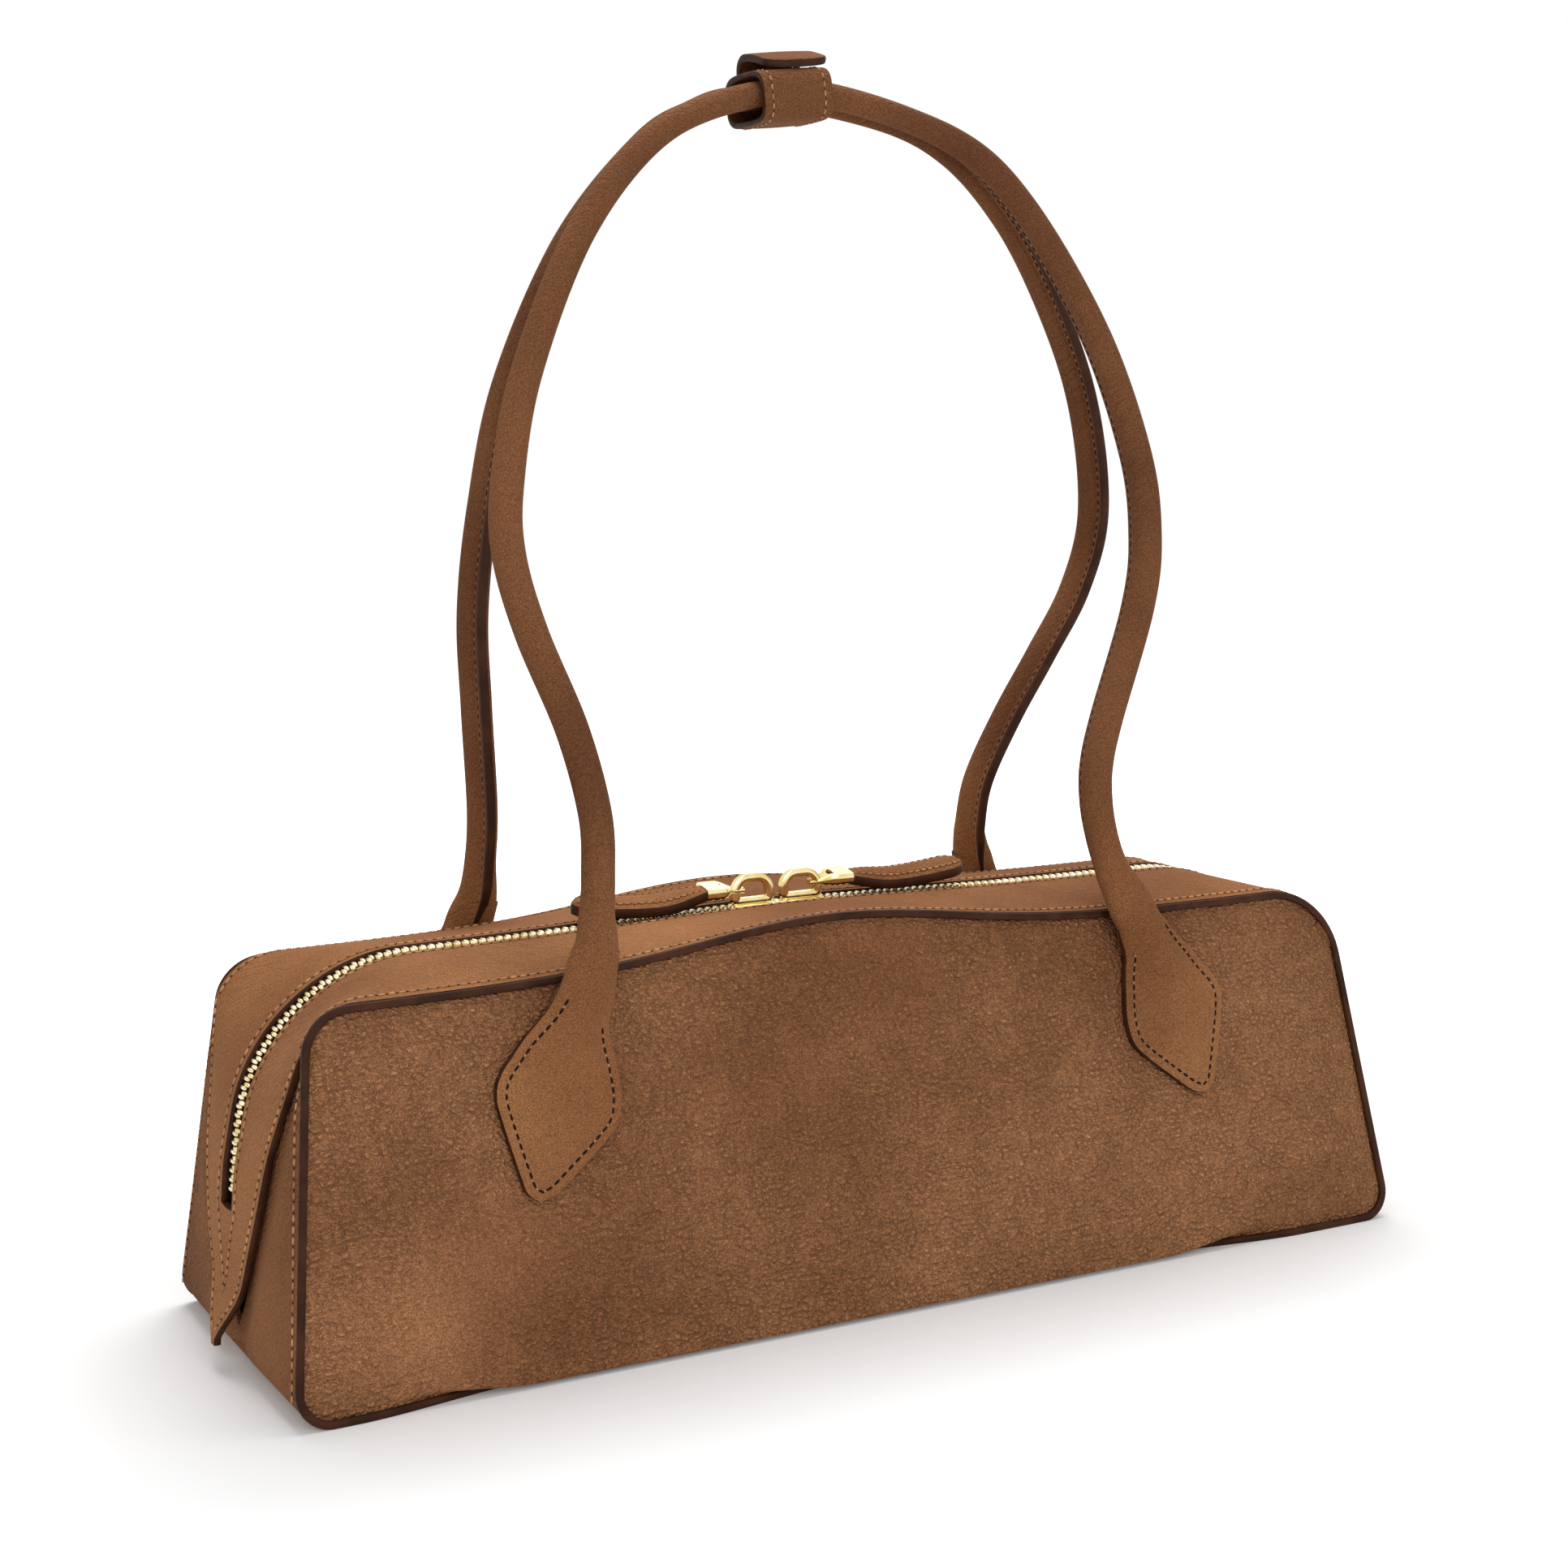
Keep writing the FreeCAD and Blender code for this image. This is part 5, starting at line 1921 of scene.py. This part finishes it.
@dataclass
class Slider:
    """Slider with its bail, its wedge-shaped clip and its leather pull."""

    hand: Hand
    palette: Palette
    plate: float = 1.3
    sunk: float = 1.3
    bail_wire: float = 2.4
    bail_foot: float = 0.9
    bail_bend: float = 3.9
    post_half: Pair = (2.6, 0.6)
    post_inset: float = 3.6
    post_sunk: float = 0.4
    pull_shift: float = 0.0
    pull_overlap: float = 5.6
    pull_short: float = 2.6
    pull_edge: float = 2.8
    pull_dome: float = 1.7
    pull_lean: float = 11.0
    pull_rise: float = 1.7
    pull_drop: float = 0.4
    pull_blunt: float = 0.06
    pull_nose: float = 0.14
    pull_sag: float = 1.3
    pull_tip: float = 0.5
    clip_rise: float = 1.0
    clip_neck: float = 1.3
    clip_half: float = 4.0
    clip_wrap: float = 1.9
    stitch_inset: float = 2.0
    stitch_pitch: float = 2.2

    def __post_init__(self) -> None:
        """Take the slider's place and direction from its nodes."""
        low, high = box_of(self.hand.label + "_slider_body")
        self.low, self.high = low, high
        self.centre = (low + high) / 2
        self.out = np.array([float(self.hand.value), 0.0, 0.0])
        self.side = np.array([0.0, 1.0, 0.0])

    def place(self, along: float, across: float, height: float) -> Array:
        """Point by the slider: outwards along the zip, across it and at a height."""
        return np.array([self.centre[0] + along * self.hand.value, across, height])

    def cast(self, body: str, name: str, rings: Sequence[Array], *nodes: str, closed: bool = False) -> None:
        """Gold piece skinned over rings; body, piece and nodes are named after the hand."""
        piece = loft(self.hand.label + name, rings, [self.palette.gold], closed=closed)
        Seat(self.hand.label + body).hold(piece, "gold_metal", *[self.hand.label + node for node in nodes])

    def build_body(self) -> None:
        """Two plates that narrow towards the outer end, joined by a post."""
        half_length = (self.high[0] - self.low[0]) / 2
        half_width = (self.high[1] - self.low[1]) / 2
        rings = []
        along = np.linspace(-1.0, 1.0, 21)
        for share in along:
            ends = math.sqrt(max(1.0 - abs(share) ** 6, 0.02))
            width = half_width * (0.86 - 0.14 * share) * ends
            edge = self.high[2] - self.sunk - 0.5 * abs(share) ** 3
            spot = self.place(share * half_length, 0.0, edge - self.plate / 2)
            rings.append(strap_ring(spot, self.side, UP, width, self.plate, 0.35))
        drop = self.high[2] - self.sunk - self.low[2] - self.plate
        turns = np.linspace(0.0, 2 * math.pi, 20, endpoint=False)
        long, wide = self.post_half
        oval = np.stack([np.cos(turns) * long, np.sin(turns) * wide, np.zeros(20)], axis=1)
        heights = (self.low[2] + self.post_sunk, self.high[2] - self.sunk - self.post_sunk)
        post = [oval + self.place(self.post_inset - half_length, 0.0, height) for height in heights]
        self.cast("_slider", "_slider_top", rings, "_slider_body")
        self.cast("_slider", "_slider_underside", [ring - UP * drop for ring in rings])
        self.cast("_slider", "_slider_post", post)

    def build_bail(self) -> None:
        """D-shaped bail on the slider's top plate."""
        low, high = box_of(self.hand.label + "_slider_bail")
        half = (high[0] - low[0] - self.bail_wire) / 2
        base = low[2] + 0.9 - self.sunk
        crown = high[2] - self.bail_wire / 2 + 0.8
        middle = (low[0] + high[0]) / 2
        foot, bend = self.bail_foot, self.bail_bend
        corners = [(-half, base, foot), (half, base, foot), (half, crown, bend), (-half, crown, bend)]
        path = []
        for index, (x, z, radius) in enumerate(corners):
            spot = np.array([x, z])
            before = unit(np.array(corners[index - 1][:2]) - spot)
            after = unit(np.array(corners[(index + 1) % 4][:2]) - spot)
            for turn in np.linspace(0.0, math.pi / 2, 12):
                centre = spot + (before + after) * radius
                path.append(centre - after * radius * math.cos(turn) - before * radius * math.sin(turn))
        path = np.array(path)
        spots = np.stack([path[:, 0] + middle, np.zeros(len(path)), path[:, 1]], axis=1)
        along = unit(np.roll(spots, -1, axis=0) - np.roll(spots, 1, axis=0))
        outward = np.cross(along, self.side)
        rings = [
            strap_ring(spot, self.side, out, self.bail_wire * 0.55, self.bail_wire * 0.95, 0.08)
            for spot, out in zip(spots, outward)
        ]
        self.cast("_slider", "_slider_bail_metal", rings, "_slider_bail", closed=True)

    def near_and_far(self, low: Array, high: Array) -> Pair:
        """X of a box's two ends, with the end by the other slider first."""
        return (high[0], low[0]) if self.hand is Hand.LEFT else (low[0], high[0])

    @property
    def lean(self) -> float:
        """Angle by which the clip and the pull lean."""
        return math.radians(self.pull_lean)

    @property
    def across(self) -> Array:
        """Direction across the leaning pull."""
        return self.side * math.cos(self.lean) + UP * math.sin(self.lean)

    def build_clip(self) -> None:
        """Wedge-shaped clip that hangs on the bail and holds the pull."""
        low, high = box_of(self.hand.label + "_pull_clip")
        middle = (low[2] + high[2]) / 2
        near, far = self.near_and_far(low, high)
        tab_low, tab_high = box_of(self.hand.label + "_pull_tab")
        held = (tab_low[2] + tab_high[2]) / 2 + self.clip_rise
        leaned = UP * math.cos(self.lean) - self.side * math.sin(self.lean)
        rings = []
        for share in np.linspace(0.0, 1.0, 13):
            spread = float(ramp(0.15, 0.62, share))
            spot = np.array([near + (far - near) * share, 0.0, middle + (held - middle) * spread])
            half = self.clip_neck + (self.clip_half - self.clip_neck) * spread
            thickness = self.clip_neck + self.clip_wrap * spread
            rings.append(strap_ring(spot, self.across, leaned, half, thickness, 0.1))
        self.cast("_pull", "_pull_clip_metal", rings, "_pull_clip")

    def build_pull(self, needle: Needle) -> None:
        """Stitched leather pull, domed and blunt at the clip, with a round nose.

        Args:
            needle: Sews the row round the pull.
        """
        seat = Seat(self.hand.label + "_pull")
        label = self.hand.label + "_pull_tab"
        low, high = box_of(label)
        near, far = self.near_and_far(low, high)
        near += self.pull_shift - self.pull_overlap * self.hand.value
        far += self.pull_shift - self.pull_short * self.hand.value
        half_width = (high[1] - low[1]) / 2
        level = (low[2] + high[2]) / 2 - self.pull_drop
        share = np.concatenate([np.linspace(0.0, 0.8, 26), np.linspace(0.8, 1.0, 22)[1:]])
        belly = 0.56 + 0.44 * ramp(0.04, 0.4, share)
        start = np.maximum(self.pull_blunt - share, 0.0) / self.pull_blunt
        blunt = np.sqrt(np.clip(1.0 - start ** 2, 0.04, 1.0))
        end = np.maximum(share - (1.0 - self.pull_nose), 0.0) / self.pull_nose
        nose = np.sqrt(np.clip(1.0 - end ** 2, 0.004, 1.0))
        width = half_width * belly * nose * blunt
        sag = -self.pull_sag * np.sin(math.pi * np.minimum(share * 1.1, 1.0)) + self.pull_tip * share
        sag = sag + self.pull_rise * (1.0 - ramp(0.0, 0.5, share))
        spots = np.stack([near + (far - near) * share, np.zeros(len(share)), level + sag], axis=1)
        along = unit(np.gradient(spots, axis=0))
        ups = unit(np.cross(along, self.side))
        ups = ups * np.sign(ups[:, 2:])
        ups = unit(ups * math.cos(self.lean) - self.side * math.sin(self.lean))
        domes = self.pull_dome * width / half_width * (0.1 + 0.9 * ramp(0.08, 0.3, share))
        rings = [
            strap_ring(spot, self.across, up, wide, self.pull_edge, dome)
            for spot, up, wide, dome in zip(spots, ups, width, domes)
        ]
        tab = loft(label + "_leather", rings, self.palette.edged_roll, STRAP_MARKS, cap_mark=1)
        seat.hold(tab, "trim_leather", label)
        inner = np.maximum(width - self.stitch_inset, 0.0)
        height = self.pull_edge / 2 + domes * (1.0 - (inner / np.maximum(width, 0.1)) ** 2)
        keep = (inner > 0.3) & (share > 0.04)
        rows = []
        for sign in (-1, 1):
            path = spots + self.across * (sign * inner)[:, None] + ups * height[:, None]
            rows.append((path[keep], ups[keep]))
        row_finish = self.palette.tan_row
        needle.sew(self.hand.label + "_pull", rows, self.stitch_pitch, row_finish, seat, "trim_leather")


# Studio


def stand(thing: bpy.types.Object, axes: Sequence[Array], place: Sequence[float]) -> None:
    """Put a camera or a lamp in the scene.

    Args:
        thing: The camera or lamp.
        axes: Directions of its right, its top and its back.
        place: Where it stands, in metres.
    """
    turned = np.eye(4)
    turned[:3, :3] = np.stack(axes, axis=1)
    turned[:3, 3] = place
    thing.matrix_world = Matrix(turned.tolist())
    bpy.context.scene.collection.objects.link(thing)


@dataclass(frozen=True)
class Studio:
    """Camera at the photograph's view, soft lights, and a pale floor that keeps the shadow."""

    camera_place: tuple[float, float, float] = (-330.2, -622.4, 231.9)
    azimuth: float = -27.565
    elevation: float = 7.508
    roll: float = -1.091
    lens: float = 57.57
    ambient: float = 0.42
    # The floor's glow dims from far_glow to near_glow towards the bag's footprint over glow_run: a painted
    # shadow round the bag.
    near_glow: float = 0.1
    far_glow: float = 0.75
    glow_run: Pair = (0.02, 0.2)
    shadow_core: tuple[float, float, float] = (0.17, 0.056, 0.0)
    floor_half: float = 4.0
    floor_tone: float = 0.86
    lamps_aim: tuple[float, float, float] = (0.0, 0.0, 0.1)

    def build_camera(self) -> None:
        """Camera turned by azimuth, elevation and roll."""
        turn, tilt, roll = (math.radians(angle) for angle in (self.azimuth, self.elevation, self.roll))
        right = np.array([math.cos(turn), math.sin(turn), 0.0])
        level_back = np.array([math.sin(turn), -math.cos(turn), 0.0])
        back = level_back * math.cos(tilt) + UP * math.sin(tilt)
        up = np.cross(back, right)
        level = right * math.cos(roll) + up * math.sin(roll)
        above = up * math.cos(roll) - right * math.sin(roll)
        data = bpy.data.cameras.new("Camera")
        data.lens = self.lens
        data.sensor_width = 36.0
        data.clip_start = 0.01
        camera = bpy.data.objects.new("Camera", data)
        stand(camera, [level, above, back], np.array(self.camera_place) * MM)
        bpy.context.scene.camera = camera

    @staticmethod
    def seen(board: NodeBoard) -> Socket:
        """1 for what the camera sees, directly, in gloss or through glass."""
        path = board.add("ShaderNodeLightPath")
        rays = board.maths("MAXIMUM", path.outputs["Is Camera Ray"], path.outputs["Is Glossy Ray"])
        return board.maths("MAXIMUM", rays, path.outputs["Is Transmission Ray"])

    def build_world(self) -> None:
        """White backdrop that lights the bag at a plain level."""
        world = bpy.data.worlds.new("Studio")
        bpy.context.scene.world = world
        world.use_nodes = True
        board = NodeBoard(world.node_tree)
        strength = board.maths("MAXIMUM", self.seen(board), self.ambient)
        light = board.out("ShaderNodeBackground", {"Color": (1.0, 1.0, 1.0, 1.0), "Strength": strength})
        board.add("ShaderNodeOutputWorld", {"Surface": light})

    def build_floor(self) -> None:
        """Pale floor that shows white away from the shadow; its glow dims towards the bag, a painted shadow
        round it.
        """
        mesh = bpy.data.meshes.new("Floor")
        half = self.floor_half
        corners = [(-half, -half, 0.0), (half, -half, 0.0), (half, half, 0.0), (-half, half, 0.0)]
        mesh.from_pydata(corners, [], [(0, 1, 2, 3)])
        floor = bpy.data.objects.new("Floor", mesh)
        bpy.context.scene.collection.objects.link(floor)
        material = bpy.data.materials.new("Pale floor")
        material.use_nodes = True
        board = NodeBoard(material.node_tree)
        matte = board.out("ShaderNodeBsdfDiffuse", {"Color": (*[self.floor_tone] * 3, 1.0)})
        away = board.vector("ABSOLUTE", board.place()).outputs[0]
        away = board.vector("SUBTRACT", away, self.shadow_core).outputs[0]
        away = board.vector("MAXIMUM", away, (0.0, 0.0, 0.0)).outputs[0]
        reach = board.vector("LENGTH", away).outputs["Value"]
        # Glow dimmed towards the footprint: painted shadow.
        strength = board.remap(reach, *self.glow_run, self.near_glow, self.far_glow)
        shown = board.maths("MULTIPLY", self.seen(board), strength)
        glow = board.out("ShaderNodeEmission", {"Strength": shown})
        both = board.out("ShaderNodeAddShader", {0: matte, 1: glow})
        board.add("ShaderNodeOutputMaterial", {"Surface": both})
        mesh.materials.append(material)

    def build_lights(self) -> None:
        """Large soft boxes: one overhead behind the bag, one in front and a weak one at the rear."""
        for name, place, power, size in (
            ("Overhead box", (0.2, 0.35, 1.5), 17.0, 1.1),
            ("Front box", (-0.35, -1.6, 1.1), 10.0, 1.3),
            ("Rear box", (0.9, 1.0, 0.8), 2.0, 1.0),
        ):
            data = bpy.data.lights.new(name, "AREA")
            data.energy = power
            data.size = size
            lamp = bpy.data.objects.new(name, data)
            away = unit(np.array(place) - np.array(self.lamps_aim))
            side = unit(np.cross(UP if abs(away[2]) < 0.95 else np.array([0.0, 1.0, 0.0]), away))
            stand(lamp, [side, np.cross(away, side), away], place)

    def build(self) -> None:
        """Set the studio up."""
        bpy.context.scene.view_settings.view_transform = "Standard"
        self.build_camera()
        self.build_world()
        self.build_floor()
        self.build_lights()


# Middle lines of the handles: place along the bag and height. Soft handles lean to one side.
FRONT_ROUTE = [
    (-86.2, 96.5), (-84.6, 101.5), (-82.2, 108.5), (-81.4, 116.0), (-80.1, 125.0), (-79.2, 141.0),
    (-83.3, 163.0), (-91.9, 188.0), (-96.0, 208.0), (-94.5, 226.0), (-86.2, 254.3), (-67.0, 290.8),
    (-42.6, 316.2), (-13.0, 327.8), (13.0, 328.2), (48.6, 317.9), (69.6, 300.4), (90.2, 265.0),
    (100.5, 230.0), (101.1, 206.0), (96.0, 186.0), (81.2, 155.0), (76.2, 142.0), (74.9, 132.0),
    (75.5, 123.0), (77.5, 113.5), (81.2, 105.5), (85.6, 96.5),
]
BACK_ROUTE = [
    (-86.2, 96.5), (-84.4, 102.0), (-82.4, 109.0), (-81.8, 118.0), (-81.6, 134.0), (-84.2, 164.0),
    (-86.0, 190.0), (-83.8, 219.0), (-77.7, 252.0), (-61.9, 288.8), (-40.6, 315.2), (-27.0, 323.6),
    (-14.0, 327.8), (11.0, 328.4), (49.4, 319.6), (76.2, 299.0), (97.9, 268.5), (110.8, 241.0),
    (117.0, 211.0), (112.6, 188.0), (102.2, 168.0), (91.6, 149.0), (83.2, 130.0), (81.6, 116.0),
    (82.6, 108.0), (84.4, 102.0), (86.2, 96.5),
]


# How far each soft pull has slipped along the bag.
PULL_SHIFT = {Hand.LEFT: 0.0, Hand.RIGHT: -1.4}


def main() -> None:
    """Build the bag's sub-assemblies in order."""
    logging.basicConfig(level=logging.INFO, format="%(name)s %(message)s")
    palette = Palette()
    base_high = np.array(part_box("base_panel")[1]) / MM
    form = BagForm(half_base=170.0, half_depth=float(base_high[1]), depth_slope=0.1786)
    Studio().build()
    needle = Needle("Body stitches", 2.15, 0.85)
    fine_needle = Needle("Fine stitches", 1.75, 0.65)
    walls = Walls(form, palette)
    band = ZipBand(form, palette)
    sewing = Stitching(form, band, palette)
    teeth = tooth_tree(band.tooth_pitch)
    walls.build_base()
    for side in Side:
        walls.build_panel(side)
        walls.build_edge(side)
        band.build_band(side)
        for hand in Hand:
            band.build_gusset(side, hand)
        band.build_zip(side, teeth)
        sewing.build(side, needle)
        handle = Handle(side, form, walls, palette, FRONT_ROUTE if side is Side.FRONT else BACK_ROUTE)
        handle.build_roll()
        handle.build_core()
        handle.build_stitches(fine_needle)
        for hand in Hand:
            handle.build_tab(hand, needle)
    keeper = Keeper(palette)
    keeper.build_loop(fine_needle)
    keeper.build_flap()
    keeper.build_snap()
    for hand in Hand:
        slider = Slider(hand, palette, pull_shift=PULL_SHIFT[hand])
        slider.build_body()
        slider.build_bail()
        slider.build_clip()
        slider.build_pull(fine_needle)


if __name__ == "__main__":
    main()
